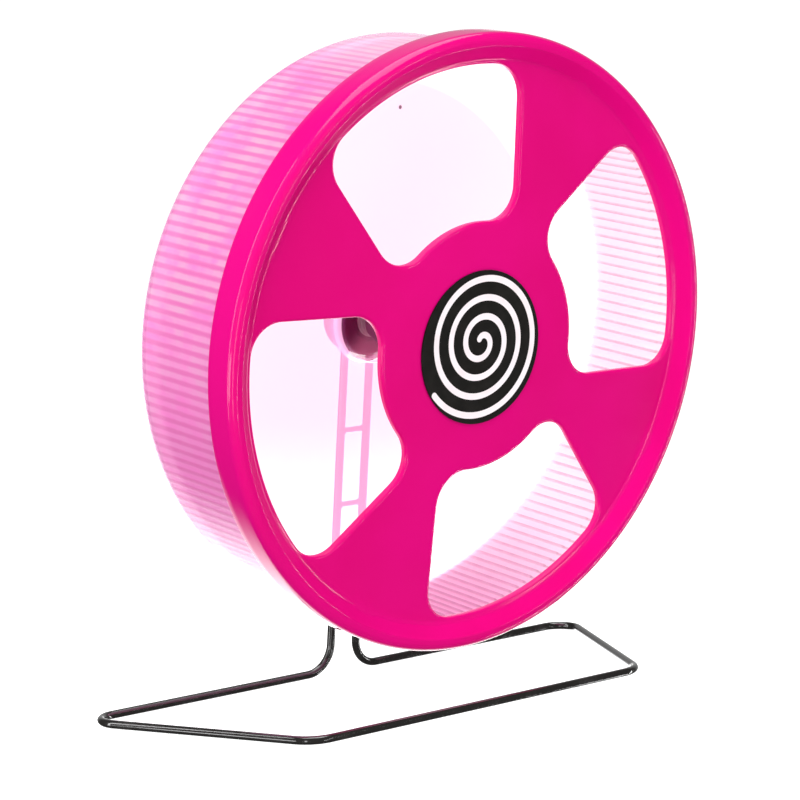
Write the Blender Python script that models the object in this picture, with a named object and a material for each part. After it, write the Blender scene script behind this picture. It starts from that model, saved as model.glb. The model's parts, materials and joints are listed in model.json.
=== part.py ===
# Exercise wheel for small pets on a bent wire stand, wheel diameter 280 mm.
# Metres, +Z up, front of the wheel towards -Y, floor at z = 0.
# The wheel, its axle and its bearing block are drawn in the wheel's own frame:
# y = 0 is the plane of the front rim, y grows towards the back, the axle is the Y axis.
# An empty carries that frame and leans forward with the uprights of the stand.
import math

import bmesh
import bpy
from mathutils import Vector

# Fits
SEAT_GAP = 0.0003
RUN_GAP = 0.0003
SWING_GAP = 0.0008
OVERRUN = 0.008
SHARP_ANGLE = math.radians(30)

# Front cover
WHEEL_RADIUS = 0.140
COVER_WALL = 0.0025
COVER_DEPTH = 0.0166
FACE_WALL = 0.0035
EDGE_RADIUS = 0.0042
RIM_FACE_WIDTH = 0.00635
RIM_WALL = 0.003
CREST_EDGE = 0.0008
RAMP_WIDTH = 0.00625
RAMP_FOOT_STEP = 0.0009
RAMP_CREST_STEP = 0.0019
FACE_DEPTH_RIM = 0.0055
FACE_DEPTH_HUB = 0.0018
HUB_FLAT_RADIUS = 0.042
SEAT_WALL = 0.0018
BEAD_HEIGHT = 0.0007
BEAD_WIDTH = 0.0011

# Windows of the cover
WINDOW_COUNT = 4
WINDOW_PHASE = math.radians(108.8)
WINDOW_RIM_LAND = 0.0019
WINDOW_HUB_LAND = 0.0145
WINDOW_SIDE_ANGLE = math.radians(19.65)
WINDOW_SIDE_OFFSET = 0.0176
WINDOW_OUTER_CORNER = 0.0149
WINDOW_INNER_CORNER = 0.0154
WINDOW_LIP = 0.0016
LIP_FLARE_SHARE = 1.1
LIP_DEGREES = (30, 90)

# Spiral disc, stuck on the hub of the cover
DISC_RADIUS = 0.0349
DISC_WALL = 0.0005

# Ribbed drum
DRUM_STEP = 0.0065
DRUM_DEPTH = 0.0815
DRUM_WALL = 0.002
DRUM_CORNER = 0.012
FLANGE_WALL = 0.002
RIB_COUNT = 176
RIB_HEIGHT = 0.0009
RIB_BASE_SHARE = 0.36
RIB_TOP_SHARE = 0.16
RIB_FRONT_LAND = 0.005
RIB_BACK_LAND = 0.001

# Hub of the drum
CUP_DEPTH = 0.007
CUP_FLOOR = 0.0025
BOSS_EDGE = 0.0015
BUSH_TUBE_LENGTH = 0.010
BUSH_TUBE_WALL = 0.0022

# Axle
SLEEVE_RADIUS = 0.004
BOLT_RADIUS = 0.0025
BOLT_HEAD_RADIUS = 0.0047
BOLT_HEAD_HEIGHT = 0.0032
BOLT_SOCKET_SHARE = 0.5
BOLT_EDGE_SHARE = 0.17
BOLT_END = 0.0008
BUSH_WALL = 0.0017
BUSH_FLANGE_RADIUS = 0.0078
BUSH_FLANGE_WALL = 0.0015
BUSH_LENGTH = 0.0055
WASHER_WALL = 0.0012
WASHER_RADIUS = 0.0056
THRUST_WALL = 0.0008
THRUST_RADIUS = 0.0085
NUT_SHOULDER = 0.0003
NUT_HEIGHT = 0.0033
NUT_COLLAR_HEIGHT = 0.0016
NUT_COLLAR_WALL = 0.0004
RING_WALL = 0.0006
CAP_WALL = 0.0017
CAP_REACH = 0.004
CAP_EDGE = 0.0025

# Bearing block that clamps the uprights
BLOCK_RADIUS = 0.0175
BLOCK_BACK = 0.0057
BLOCK_EDGE = 0.0012
BLOCK_GRIP = 0.012
SCREW_OFFSET = 0.0118
SCREW_RADIUS = 0.0014
SCREW_HEAD_RADIUS = 0.0027
SCREW_HEAD_HEIGHT = 0.0018
SCREW_LENGTH = 0.0105
SCREW_TIP_ROOM = 0.0008
SCREW_TIP_SHARE = 0.33
SCREW_DRIVE_SHARE = 0.33
SCREW_EDGE_SHARE = 0.33

# Wire stand
WIRE_RADIUS = 0.002
WIRE_SIDES = 12
WIRE_STANDOFF = 0.0028
UPRIGHT_SPACING = 0.0154
UPRIGHT_LENGTH = 0.1724
UPRIGHT_BEND = 0.0131
LEAN = math.radians(6)
LOOP_DEPTH = 0.102
LOOP_BACK_HALF = 0.1514
LOOP_FRONT_HALF = 0.0993
LOOP_BACK_BEND = 0.0105
LOOP_FRONT_BEND = 0.0159
RUNG_RADIUS = 0.0013
RUNG_DROPS = (0.0546, 0.0906)

# Mesh fineness
TURN_STEPS = 64
SMALL_STEPS = 20
HUB_STEPS = 32
SCREW_STEPS = 16
BEND_STEPS = 6

# Places along the axle, from the front rim backwards
BEAD_FRONT = COVER_DEPTH - BEAD_WIDTH
FLANGE_BACK = BEAD_FRONT - SEAT_GAP
FLANGE_FRONT = FLANGE_BACK - FLANGE_WALL
SEAT_BACK = FLANGE_FRONT - SEAT_GAP
CUP_BACK = DRUM_DEPTH - CUP_DEPTH
CUP_FRONT = CUP_BACK - CUP_FLOOR
TUBE_FRONT = CUP_FRONT - BUSH_TUBE_LENGTH
FRONT_BUSH_BACK = TUBE_FRONT - SEAT_GAP
FRONT_BUSH_FACE = FRONT_BUSH_BACK - BUSH_FLANGE_WALL
SLEEVE_FRONT = FRONT_BUSH_FACE - RUN_GAP
WASHER_BACK = SLEEVE_FRONT - SEAT_GAP
WASHER_FRONT = WASHER_BACK - WASHER_WALL
HEAD_BACK = WASHER_FRONT - SEAT_GAP
HEAD_FRONT = HEAD_BACK - BOLT_HEAD_HEIGHT
CAP_INSIDE = HEAD_FRONT - SWING_GAP
CAP_FRONT = CAP_INSIDE - CAP_WALL
BACK_BUSH_FRONT = CUP_BACK + SEAT_GAP
BACK_BUSH_FACE = BACK_BUSH_FRONT + BUSH_FLANGE_WALL
THRUST_FRONT = BACK_BUSH_FACE + RUN_GAP
THRUST_BACK = THRUST_FRONT + THRUST_WALL
BLOCK_FRONT = THRUST_BACK + SEAT_GAP
UPRIGHT_PLANE = DRUM_DEPTH + WIRE_STANDOFF + WIRE_RADIUS
SPLIT_FRONT = UPRIGHT_PLANE - SEAT_GAP / 2
SPLIT_BACK = UPRIGHT_PLANE + SEAT_GAP / 2
BLOCK_END = UPRIGHT_PLANE + BLOCK_BACK
NUT_WASHER_FRONT = BLOCK_END + SEAT_GAP
NUT_WASHER_BACK = NUT_WASHER_FRONT + WASHER_WALL
NUT_FRONT = NUT_WASHER_BACK + SEAT_GAP
NUT_BACK = NUT_FRONT + NUT_HEIGHT
COLLAR_BACK = NUT_BACK + NUT_COLLAR_HEIGHT
BOLT_BACK = COLLAR_BACK + BOLT_END

# Radii
CREST_RADIUS = WHEEL_RADIUS - RIM_FACE_WIDTH
FACE_RADIUS = CREST_RADIUS - RAMP_WIDTH
WINDOW_OUTER_RADIUS = FACE_RADIUS - WINDOW_RIM_LAND
WINDOW_INNER_RADIUS = HUB_FLAT_RADIUS + WINDOW_HUB_LAND
FLANGE_RADIUS = WHEEL_RADIUS - COVER_WALL - SEAT_GAP
DRUM_RADIUS = WHEEL_RADIUS - DRUM_STEP
RUN_RADIUS = DRUM_RADIUS - DRUM_WALL
CUP_RADIUS = BLOCK_RADIUS + SWING_GAP
BOSS_RADIUS = CUP_RADIUS + DRUM_WALL
BOLT_BORE = BOLT_RADIUS + SEAT_GAP
BUSH_BORE = SLEEVE_RADIUS + RUN_GAP
BUSH_RADIUS = BUSH_BORE + BUSH_WALL
TUBE_BORE = BUSH_RADIUS + SEAT_GAP
TUBE_RADIUS = TUBE_BORE + BUSH_TUBE_WALL
CAP_BORE = TUBE_RADIUS + SEAT_GAP
CAP_RADIUS = CAP_BORE + CAP_WALL
POCKET_RADIUS = BOLT_BORE + RING_WALL + SEAT_GAP
COLLAR_RADIUS = POCKET_RADIUS + NUT_COLLAR_WALL
NUT_RADIUS = COLLAR_RADIUS + NUT_SHOULDER
GROOVE_RADIUS = WIRE_RADIUS + SEAT_GAP

# Places on the floor
SIN_LEAN = math.sin(LEAN)
COS_LEAN = math.cos(LEAN)
FRONT_REACH = (WHEEL_RADIUS - EDGE_RADIUS) * SIN_LEAN + EDGE_RADIUS * (1 - COS_LEAN)
BACK_BAR_Y = (UPRIGHT_LENGTH * SIN_LEAN + UPRIGHT_PLANE * COS_LEAN + FRONT_REACH - WIRE_RADIUS) / 2
FRONT_BAR_Y = BACK_BAR_Y - LOOP_DEPTH
UPRIGHT_DIRECTION = Vector((0, -SIN_LEAN, COS_LEAN))
AXLE_DIRECTION = Vector((0, COS_LEAN, SIN_LEAN))
UPRIGHT_FOOT = Vector((0, BACK_BAR_Y, WIRE_RADIUS))
HUB_POINT = UPRIGHT_FOOT + UPRIGHT_DIRECTION * UPRIGHT_LENGTH
RIM_CENTRE = HUB_POINT - AXLE_DIRECTION * UPRIGHT_PLANE


def clear_scene():
    for item in list(bpy.data.objects):
        bpy.data.objects.remove(item, do_unlink=True)


def make_material(name, colour, roughness, metallic=0.0, alpha=1.0):
    material = bpy.data.materials.new(name)
    material.use_nodes = True
    shader = material.node_tree.nodes["Principled BSDF"]
    shader.inputs["Base Color"].default_value = (*colour, 1)
    shader.inputs["Roughness"].default_value = roughness
    shader.inputs["Metallic"].default_value = metallic
    shader.inputs["Alpha"].default_value = alpha
    return material


def add_object(name, bm, material, parent=None):
    bmesh.ops.recalc_face_normals(bm, faces=bm.faces)
    mesh = bpy.data.meshes.new(name)
    bm.to_mesh(mesh)
    bm.free()
    mesh.shade_smooth()
    mesh.set_sharp_from_angle(angle=SHARP_ANGLE)
    mesh.materials.append(material)
    item = bpy.data.objects.new(name, mesh)
    item.parent = parent
    bpy.context.scene.collection.objects.link(item)
    return item


# A loop of vertices round the axle at one radius and one depth.
def circle_loop(bm, radius, depth, steps):
    turn = 2 * math.pi / steps
    loop = []
    for i in range(steps):
        loop.append(bm.verts.new((radius * math.cos(i * turn), depth, radius * math.sin(i * turn))))
    return loop


def loop_angle(vertex):
    return math.atan2(vertex.co.z, vertex.co.x) % (2 * math.pi)


# Joins two loops that may have unlike counts, walking round both by angle.
def bridge(bm, first, second):
    if len(first) == len(second):
        for i in range(len(first)):
            j = (i + 1) % len(first)
            bm.faces.new((first[i], first[j], second[j], second[i]))
        return
    first_angles = [loop_angle(v) for v in first[1:]] + [2 * math.pi + loop_angle(first[0])]
    second_angles = [loop_angle(v) for v in second[1:]] + [2 * math.pi + loop_angle(second[0])]
    i = 0
    j = 0
    while i < len(first) or j < len(second):
        here = first[i % len(first)]
        there = second[j % len(second)]
        if j == len(second) or (i < len(first) and first_angles[i] <= second_angles[j]):
            bm.faces.new((here, first[(i + 1) % len(first)], there))
            i += 1
        else:
            bm.faces.new((here, second[(j + 1) % len(second)], there))
            j += 1


# A turned solid: the profile runs round its section, closed on itself where it has a bore.
def turned(name, profile, steps, material, parent, bored=True):
    bm = bmesh.new()
    loops = [circle_loop(bm, radius, depth, steps) for radius, depth in profile]
    for first, second in zip(loops, loops[1:]):
        bridge(bm, first, second)
    if bored:
        bridge(bm, loops[-1], loops[0])
    else:
        bm.faces.new(loops[0])
        bm.faces.new(loops[-1])
    return add_object(name, bm, material, parent)


def arc_points(centre, radius, start, end, steps):
    points = []
    for i in range(steps + 1):
        angle = math.radians(start + (end - start) * i / steps)
        points.append((centre[0] + radius * math.cos(angle), centre[1] + radius * math.sin(angle)))
    return points


def add_cut(item, cutter):
    cutter.hide_render = True
    cutter.display_type = 'WIRE'
    cut = item.modifiers.new("Cut " + cutter.name, 'BOOLEAN')
    cut.operation = 'DIFFERENCE'
    cut.solver = 'EXACT'
    cut.object = cutter


# The face of the cover is flat round the hub and falls back evenly to the foot of the ramp.
def face_depth(radius):
    share = (radius - HUB_FLAT_RADIUS) / (FACE_RADIUS - HUB_FLAT_RADIUS)
    share = min(max(share, 0), 1)
    return FACE_DEPTH_HUB + (FACE_DEPTH_RIM - FACE_DEPTH_HUB) * share


# Depth of the back of the ramp that rises from the face to the crest of the rim.
def ramp_back(radius):
    foot = FACE_RADIUS + RAMP_FOOT_STEP
    crest = CREST_RADIUS + RAMP_CREST_STEP
    share = (radius - foot) / (crest - foot)
    plate_back = FACE_DEPTH_RIM + FACE_WALL
    return plate_back + (RIM_WALL - plate_back) * share


# A ring behind the ramp is the seat that stops the flange of the drum.
def cover_profile():
    inside = WHEEL_RADIUS - COVER_WALL
    outer = arc_points((WHEEL_RADIUS - EDGE_RADIUS, EDGE_RADIUS), EDGE_RADIUS, 0, -90, 3)
    profile = [(inside - BEAD_HEIGHT, COVER_DEPTH), (WHEEL_RADIUS, COVER_DEPTH)]
    profile += outer
    profile.append((CREST_RADIUS + CREST_EDGE, 0))
    profile.append((CREST_RADIUS, CREST_EDGE))
    profile.append((FACE_RADIUS, FACE_DEPTH_RIM))
    profile.append((HUB_FLAT_RADIUS, FACE_DEPTH_HUB))
    back = [(HUB_FLAT_RADIUS, FACE_DEPTH_HUB + FACE_WALL)]
    back.append((FACE_RADIUS + RAMP_FOOT_STEP, FACE_DEPTH_RIM + FACE_WALL))
    seat_outer = RUN_RADIUS + SEAT_WALL
    back += [(RUN_RADIUS, ramp_back(RUN_RADIUS)), (RUN_RADIUS, SEAT_BACK)]
    back += [(seat_outer, SEAT_BACK), (seat_outer, ramp_back(seat_outer))]
    back.append((CREST_RADIUS + RAMP_CREST_STEP, RIM_WALL))
    back.append((inside, RIM_WALL))
    back.append((inside, BEAD_FRONT))
    back.append((inside - BEAD_HEIGHT, BEAD_FRONT))
    return profile, back


# One window, symmetric about its own axis: outer arc, rounded corners, sides that
# spread by the side angle, inner arc about the hub. A positive growth widens it all round.
def window_outline(growth):
    outer = WINDOW_OUTER_RADIUS + growth
    inner = WINDOW_INNER_RADIUS - growth
    offset = WINDOW_SIDE_OFFSET + growth
    outer_corner = WINDOW_OUTER_CORNER + growth
    inner_corner = WINDOW_INNER_CORNER + growth
    normal = Vector((-math.sin(WINDOW_SIDE_ANGLE), math.cos(WINDOW_SIDE_ANGLE)))
    along = Vector((math.cos(WINDOW_SIDE_ANGLE), math.sin(WINDOW_SIDE_ANGLE)))

    def corner_centre(reach, corner):
        across = offset - corner
        return normal * across + along * math.sqrt(reach ** 2 - across ** 2)

    outer_centre = corner_centre(outer - outer_corner, outer_corner)
    inner_centre = corner_centre(inner + inner_corner, inner_corner)
    outer_angle = math.atan2(outer_centre.y, outer_centre.x)
    inner_angle = math.atan2(inner_centre.y, inner_centre.x)
    side_angle = math.pi / 2 + WINDOW_SIDE_ANGLE
    half = []

    def add_arc(centre, radius, start, end, steps, skip_last):
        for i in range(steps + 1 - int(skip_last)):
            angle = start + (end - start) * i / steps
            half.append(centre + radius * Vector((math.cos(angle), math.sin(angle))))

    add_arc(Vector((0, 0)), outer, 0, outer_angle, 7, True)
    add_arc(outer_centre, outer_corner, outer_angle, side_angle, 5, False)
    add_arc(inner_centre, inner_corner, side_angle, inner_angle + math.pi, 6, True)
    add_arc(Vector((0, 0)), inner, inner_angle, 0, 4, False)
    mirrored = [Vector((p.x, -p.y)) for p in reversed(half[1:-1])]
    return half + mirrored


# The cutter of one window flares at the front, which rounds the lip of the window
# along the fall of the face.
def add_window_cutter(bm, angle):
    flare = WINDOW_LIP * LIP_FLARE_SHARE
    rows = [(flare, None, -OVERRUN), (flare, -WINDOW_LIP, None)]
    for degrees in LIP_DEGREES:
        turn = math.radians(degrees)
        rows.append((WINDOW_LIP * (1 - math.sin(turn)), WINDOW_LIP * (1 - math.cos(turn)), None))
    rows.append((0, None, COVER_DEPTH))
    loops = []
    for growth, sink, plane in rows:
        loop = []
        for point in window_outline(growth):
            depth = plane
            if plane is None:
                depth = face_depth(point.length) + sink
            x = point.x * math.cos(angle) - point.y * math.sin(angle)
            z = point.x * math.sin(angle) + point.y * math.cos(angle)
            loop.append(bm.verts.new((x, depth, z)))
        loops.append(loop)
    for first, second in zip(loops, loops[1:]):
        bridge(bm, first, second)
    bm.faces.new(loops[0])
    bm.faces.new(loops[-1])


def build_cover(material, parent):
    front, back = cover_profile()
    bm = bmesh.new()
    front_loops = [circle_loop(bm, radius, depth, TURN_STEPS) for radius, depth in front]
    back_loops = [circle_loop(bm, radius, depth, TURN_STEPS) for radius, depth in back]
    loops = front_loops + back_loops
    for i in range(len(loops) - 1):
        if loops[i] is not front_loops[-1]:
            bridge(bm, loops[i], loops[i + 1])
    bridge(bm, loops[-1], loops[0])
    bm.faces.new(front_loops[-1])
    bm.faces.new(back_loops[0])
    cover = add_object("front_cover", bm, material, parent)
    cutters = bmesh.new()
    for i in range(WINDOW_COUNT):
        add_window_cutter(cutters, WINDOW_PHASE + i * 2 * math.pi / WINDOW_COUNT)
    add_cut(cover, add_object("window_cutters", cutters, material, parent))


# Ribs of the running surface: ridges along the axle, each with its own end faces.
def add_ribs(bm, front_depth, back_depth):
    pitch = 2 * math.pi / RIB_COUNT
    base_half = pitch * RIB_BASE_SHARE / 2
    top_half = pitch * RIB_TOP_SHARE / 2
    top_radius = RUN_RADIUS - RIB_HEIGHT
    corners = ((RUN_RADIUS, -base_half), (top_radius, -top_half))
    corners += ((top_radius, top_half), (RUN_RADIUS, base_half))
    front_loop = []
    back_loop = []
    sections = []
    for i in range(RIB_COUNT):
        centre = (i + 0.5) * pitch
        section = []
        for radius, turn in corners:
            x = radius * math.cos(centre + turn)
            z = radius * math.sin(centre + turn)
            section.append((bm.verts.new((x, front_depth, z)), bm.verts.new((x, back_depth, z))))
        bm.faces.new([pair[0] for pair in section])
        bm.faces.new([pair[1] for pair in section])
        front_loop += [section[0][0], section[3][0]]
        back_loop += [section[0][1], section[3][1]]
        sections.append(section)
    for i, section in enumerate(sections):
        chain = section + [sections[(i + 1) % RIB_COUNT][0]]
        for first, second in zip(chain, chain[1:]):
            bm.faces.new((first[0], second[0], second[1], first[1]))
    return front_loop, back_loop


def build_drum(material, parent):
    bm = bmesh.new()
    corner_depth = DRUM_DEPTH - DRUM_CORNER
    corner_centre = (DRUM_RADIUS - DRUM_CORNER, corner_depth)
    inner_back = DRUM_DEPTH - DRUM_WALL
    boss_turn = (BOSS_RADIUS - BOSS_EDGE, CUP_FRONT + BOSS_EDGE)

    def loops_of(points, steps):
        return [circle_loop(bm, radius, depth, steps) for radius, depth in points]

    def chain(loops):
        for first, second in zip(loops, loops[1:]):
            bridge(bm, first, second)

    outside = [(FLANGE_RADIUS, FLANGE_FRONT), (FLANGE_RADIUS, FLANGE_BACK), (DRUM_RADIUS, FLANGE_BACK)]
    outside += arc_points(corner_centre, DRUM_CORNER, 0, 90, 4)
    outer_loops = loops_of(outside, TURN_STEPS)
    cup = [(CUP_RADIUS, DRUM_DEPTH), (CUP_RADIUS, CUP_BACK), (TUBE_BORE, CUP_BACK)]
    cup += [(TUBE_BORE, TUBE_FRONT), (TUBE_RADIUS, TUBE_FRONT), (TUBE_RADIUS, CUP_FRONT)]
    cup += list(reversed(arc_points(boss_turn, BOSS_EDGE, 0, -90, 3)))
    cup.append((BOSS_RADIUS, inner_back))
    hub_loops = loops_of(cup, HUB_STEPS)
    inside = list(reversed(arc_points(corner_centre, DRUM_CORNER - DRUM_WALL, 0, 90, 4)))
    inner_loops = loops_of(inside, TURN_STEPS)
    front_edge = circle_loop(bm, RUN_RADIUS, FLANGE_FRONT, TURN_STEPS)
    rib_front, rib_back = add_ribs(bm, FLANGE_FRONT + RIB_FRONT_LAND, corner_depth - RIB_BACK_LAND)
    chain(outer_loops + hub_loops + inner_loops)
    bridge(bm, inner_loops[-1], rib_back)
    bridge(bm, rib_front, front_edge)
    bridge(bm, front_edge, outer_loops[0])
    add_object("drum", bm, material, parent)


def build_disc(material, parent):
    back = FACE_DEPTH_HUB - SEAT_GAP
    turned("spiral_disc", [(DISC_RADIUS, back - DISC_WALL), (DISC_RADIUS, back)], TURN_STEPS, material,
           parent, bored=False)


def build_bush(name, face, root, direction, material, parent):
    tip = root + direction * BUSH_LENGTH
    profile = [(BUSH_BORE, face), (BUSH_FLANGE_RADIUS, face), (BUSH_FLANGE_RADIUS, root)]
    profile += [(BUSH_RADIUS, root), (BUSH_RADIUS, tip), (BUSH_BORE, tip)]
    turned(name, profile, SMALL_STEPS, material, parent)


def build_washer(name, bore, radius, front, back, material, parent):
    profile = [(bore, front), (radius, front), (radius, back), (bore, back)]
    turned(name, profile, SMALL_STEPS, material, parent)


def build_bolt(material, parent):
    socket = BOLT_HEAD_RADIUS * BOLT_SOCKET_SHARE
    sink = HEAD_FRONT + BOLT_HEAD_HEIGHT * BOLT_SOCKET_SHARE
    edge = BOLT_HEAD_HEIGHT * BOLT_EDGE_SHARE
    profile = [(socket, sink), (socket, HEAD_FRONT), (BOLT_HEAD_RADIUS - edge, HEAD_FRONT)]
    profile += [(BOLT_HEAD_RADIUS, HEAD_FRONT + edge), (BOLT_HEAD_RADIUS, HEAD_BACK)]
    profile += [(BOLT_RADIUS, HEAD_BACK), (BOLT_RADIUS, BOLT_BACK)]
    turned("axle_bolt", profile, SMALL_STEPS, material, parent, bored=False)


# Hexagonal nut with a round collar that holds the locking ring.
def build_nut(material, parent):
    bm = bmesh.new()
    hexagon = NUT_RADIUS / math.cos(math.pi / 6)
    loops = [circle_loop(bm, BOLT_BORE, NUT_FRONT, SMALL_STEPS), circle_loop(bm, hexagon, NUT_FRONT, 6)]
    loops += [circle_loop(bm, hexagon, NUT_BACK, 6), circle_loop(bm, COLLAR_RADIUS, NUT_BACK, SMALL_STEPS)]
    collar = [(COLLAR_RADIUS, COLLAR_BACK), (POCKET_RADIUS, COLLAR_BACK)]
    collar += [(POCKET_RADIUS, NUT_BACK), (BOLT_BORE, NUT_BACK)]
    for radius, depth in collar:
        loops.append(circle_loop(bm, radius, depth, SMALL_STEPS))
    for i, loop in enumerate(loops):
        bridge(bm, loop, loops[(i + 1) % len(loops)])
    add_object("lock_nut", bm, material, parent)


def build_cap(material, parent):
    open_end = TUBE_FRONT + CAP_REACH
    turn = (CAP_RADIUS - CAP_EDGE, CAP_FRONT + CAP_EDGE)
    profile = list(reversed(arc_points(turn, CAP_EDGE, 0, -90, 4)))
    profile += [(CAP_RADIUS, open_end), (CAP_BORE, open_end), (CAP_BORE, CAP_INSIDE)]
    turned("hub_cap", profile, SMALL_STEPS, material, parent, bored=False)


# Round grooves for the two uprights, which end just above the ends of the wire.
def groove_cutters(material, parent):
    bm = bmesh.new()
    sides = WIRE_SIDES * 2
    reach = GROOVE_RADIUS / math.cos(math.pi / WIRE_SIDES)
    for side in (-1, 1):
        loops = []
        for height in (-BLOCK_RADIUS - OVERRUN, BLOCK_GRIP + SEAT_GAP):
            loop = []
            for i in range(sides):
                angle = 2 * math.pi * (i + 0.5) / sides
                x = side * UPRIGHT_SPACING / 2 + reach * math.cos(angle)
                y = UPRIGHT_PLANE + reach * math.sin(angle)
                loop.append(bm.verts.new((x, y, height)))
            loops.append(loop)
        bridge(bm, loops[0], loops[1])
        bm.faces.new(loops[0])
        bm.faces.new(loops[1])
    return add_object("groove_cutters", bm, material, parent)


def screw_cutter(name, radius, front, material, parent):
    bm = bmesh.new()
    for side in (-1, 1):
        loops = []
        for depth in (front, BLOCK_END + OVERRUN):
            loop = circle_loop(bm, radius, depth, SCREW_STEPS)
            for vertex in loop:
                vertex.co.z += side * SCREW_OFFSET
            loops.append(loop)
        bridge(bm, loops[0], loops[1])
        bm.faces.new(loops[0])
        bm.faces.new(loops[1])
    return add_object(name, bm, material, parent)


def build_block(material, parent):
    front_ring = [(BOLT_BORE, BLOCK_FRONT), (BLOCK_RADIUS - BLOCK_EDGE, BLOCK_FRONT)]
    front_ring += [(BLOCK_RADIUS, BLOCK_FRONT + BLOCK_EDGE), (BLOCK_RADIUS, SPLIT_FRONT)]
    front_ring.append((BOLT_BORE, SPLIT_FRONT))
    back_ring = [(BOLT_BORE, SPLIT_BACK), (BLOCK_RADIUS, SPLIT_BACK)]
    back_ring += [(BLOCK_RADIUS, BLOCK_END - BLOCK_EDGE), (BLOCK_RADIUS - BLOCK_EDGE, BLOCK_END)]
    back_ring.append((BOLT_BORE, BLOCK_END))
    front = turned("block_front", front_ring, HUB_STEPS, material, parent)
    back = turned("block_back", back_ring, HUB_STEPS, material, parent)
    grooves = groove_cutters(material, parent)
    hole_end = BLOCK_END + SEAT_GAP - SCREW_LENGTH - SCREW_TIP_ROOM
    holes = screw_cutter("screw_hole_cutters", SCREW_RADIUS + SEAT_GAP, hole_end, material, parent)
    for half in (front, back):
        add_cut(half, grooves)
        add_cut(half, holes)


def build_screw(name, side, material, parent):
    head_front = BLOCK_END + SEAT_GAP
    head_back = head_front + SCREW_HEAD_HEIGHT
    edge = SCREW_HEAD_HEIGHT * SCREW_EDGE_SHARE
    drive = SCREW_HEAD_RADIUS * SCREW_DRIVE_SHARE
    tip = head_front - SCREW_LENGTH
    profile = [(SCREW_RADIUS * SCREW_TIP_SHARE, tip), (SCREW_RADIUS, tip + SCREW_RADIUS)]
    profile += [(SCREW_RADIUS, head_front), (SCREW_HEAD_RADIUS, head_front)]
    profile.append((SCREW_HEAD_RADIUS, head_back - edge))
    profile += [(SCREW_HEAD_RADIUS - edge, head_back), (drive, head_back), (drive, head_back - edge)]
    screw = turned(name, profile, SCREW_STEPS, material, parent, bored=False)
    screw.location = (0, 0, side * SCREW_OFFSET)


# Rounds the corner b of the run a-b-c with a bend of the given radius.
def bend_points(a, b, c, radius):
    back = (a - b).normalized()
    ahead = (c - b).normalized()
    half = back.angle(ahead) / 2
    bisector = (back + ahead).normalized()
    centre = b + bisector * (radius / math.sin(half))
    start = (b + back * (radius / math.tan(half)) - centre).normalized()
    end = (b + ahead * (radius / math.tan(half)) - centre).normalized()
    axis = start.cross(end).normalized()
    side = axis.cross(start)
    sweep = start.angle(end)
    points = []
    for i in range(BEND_STEPS + 1):
        angle = sweep * i / BEND_STEPS
        points.append(centre + (start * math.cos(angle) + side * math.sin(angle)) * radius)
    return points


def stand_path():
    half = UPRIGHT_SPACING / 2
    top = UPRIGHT_DIRECTION * (UPRIGHT_LENGTH + BLOCK_GRIP)
    foot = UPRIGHT_FOOT
    front = Vector((0, FRONT_BAR_Y, WIRE_RADIUS))
    left = Vector((-1, 0, 0))
    corners = [foot + left * half + top, foot + left * half, foot + left * LOOP_BACK_HALF]
    corners += [front + left * LOOP_FRONT_HALF, front - left * LOOP_FRONT_HALF]
    corners += [foot - left * LOOP_BACK_HALF, foot - left * half, foot - left * half + top]
    radii = [UPRIGHT_BEND, LOOP_BACK_BEND, LOOP_FRONT_BEND, LOOP_FRONT_BEND, LOOP_BACK_BEND, UPRIGHT_BEND]
    path = [corners[0]]
    for i, radius in enumerate(radii):
        path += bend_points(corners[i], corners[i + 1], corners[i + 2], radius)
    path.append(corners[-1])
    return path


# Sweeps a many-sided wire along a path. The section turns with the path without
# twisting, so flats of the wire stay in the plane of each bend.
def add_wire(bm, path, radius, sides, normal):
    reach = radius / math.cos(math.pi / sides)
    rings = []
    tangent = (path[1] - path[0]).normalized()
    for i, point in enumerate(path):
        before = (point - path[i - 1]).normalized() if i > 0 else tangent
        after = (path[i + 1] - point).normalized() if i < len(path) - 1 else before
        turned_to = (before + after).normalized()
        normal = (tangent.rotation_difference(turned_to) @ normal).normalized()
        tangent = turned_to
        side = tangent.cross(normal).normalized()
        stretch = 1 / math.cos(before.angle(after) / 2)
        across = (after - before).normalized()
        ring = []
        for k in range(sides):
            angle = 2 * math.pi * (k + 0.5) / sides
            offset = (normal * math.cos(angle) + side * math.sin(angle)) * reach
            offset += across * (offset.dot(across) * (stretch - 1))
            ring.append(bm.verts.new(point + offset))
        rings.append(ring)
    for first, second in zip(rings, rings[1:]):
        for k in range(sides):
            j = (k + 1) % sides
            bm.faces.new((first[k], first[j], second[j], second[k]))
    bm.faces.new(rings[0])
    bm.faces.new(rings[-1])


# The section starts turned by the lean, so that its flats lie level along the floor.
def build_stand(material):
    bm = bmesh.new()
    start_normal = AXLE_DIRECTION * COS_LEAN + Vector((SIN_LEAN, 0, 0))
    add_wire(bm, stand_path(), WIRE_RADIUS, WIRE_SIDES, start_normal)
    add_object("wire_stand", bm, material)


def build_rung(name, drop, material, parent):
    reach = UPRIGHT_SPACING / 2 - WIRE_RADIUS - SEAT_GAP
    ends = [Vector((side * reach, UPRIGHT_PLANE, -drop)) for side in (-1, 1)]
    bm = bmesh.new()
    add_wire(bm, ends, RUNG_RADIUS, WIRE_SIDES, Vector((0, 1, 0)))
    add_object(name, bm, material, parent)


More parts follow.
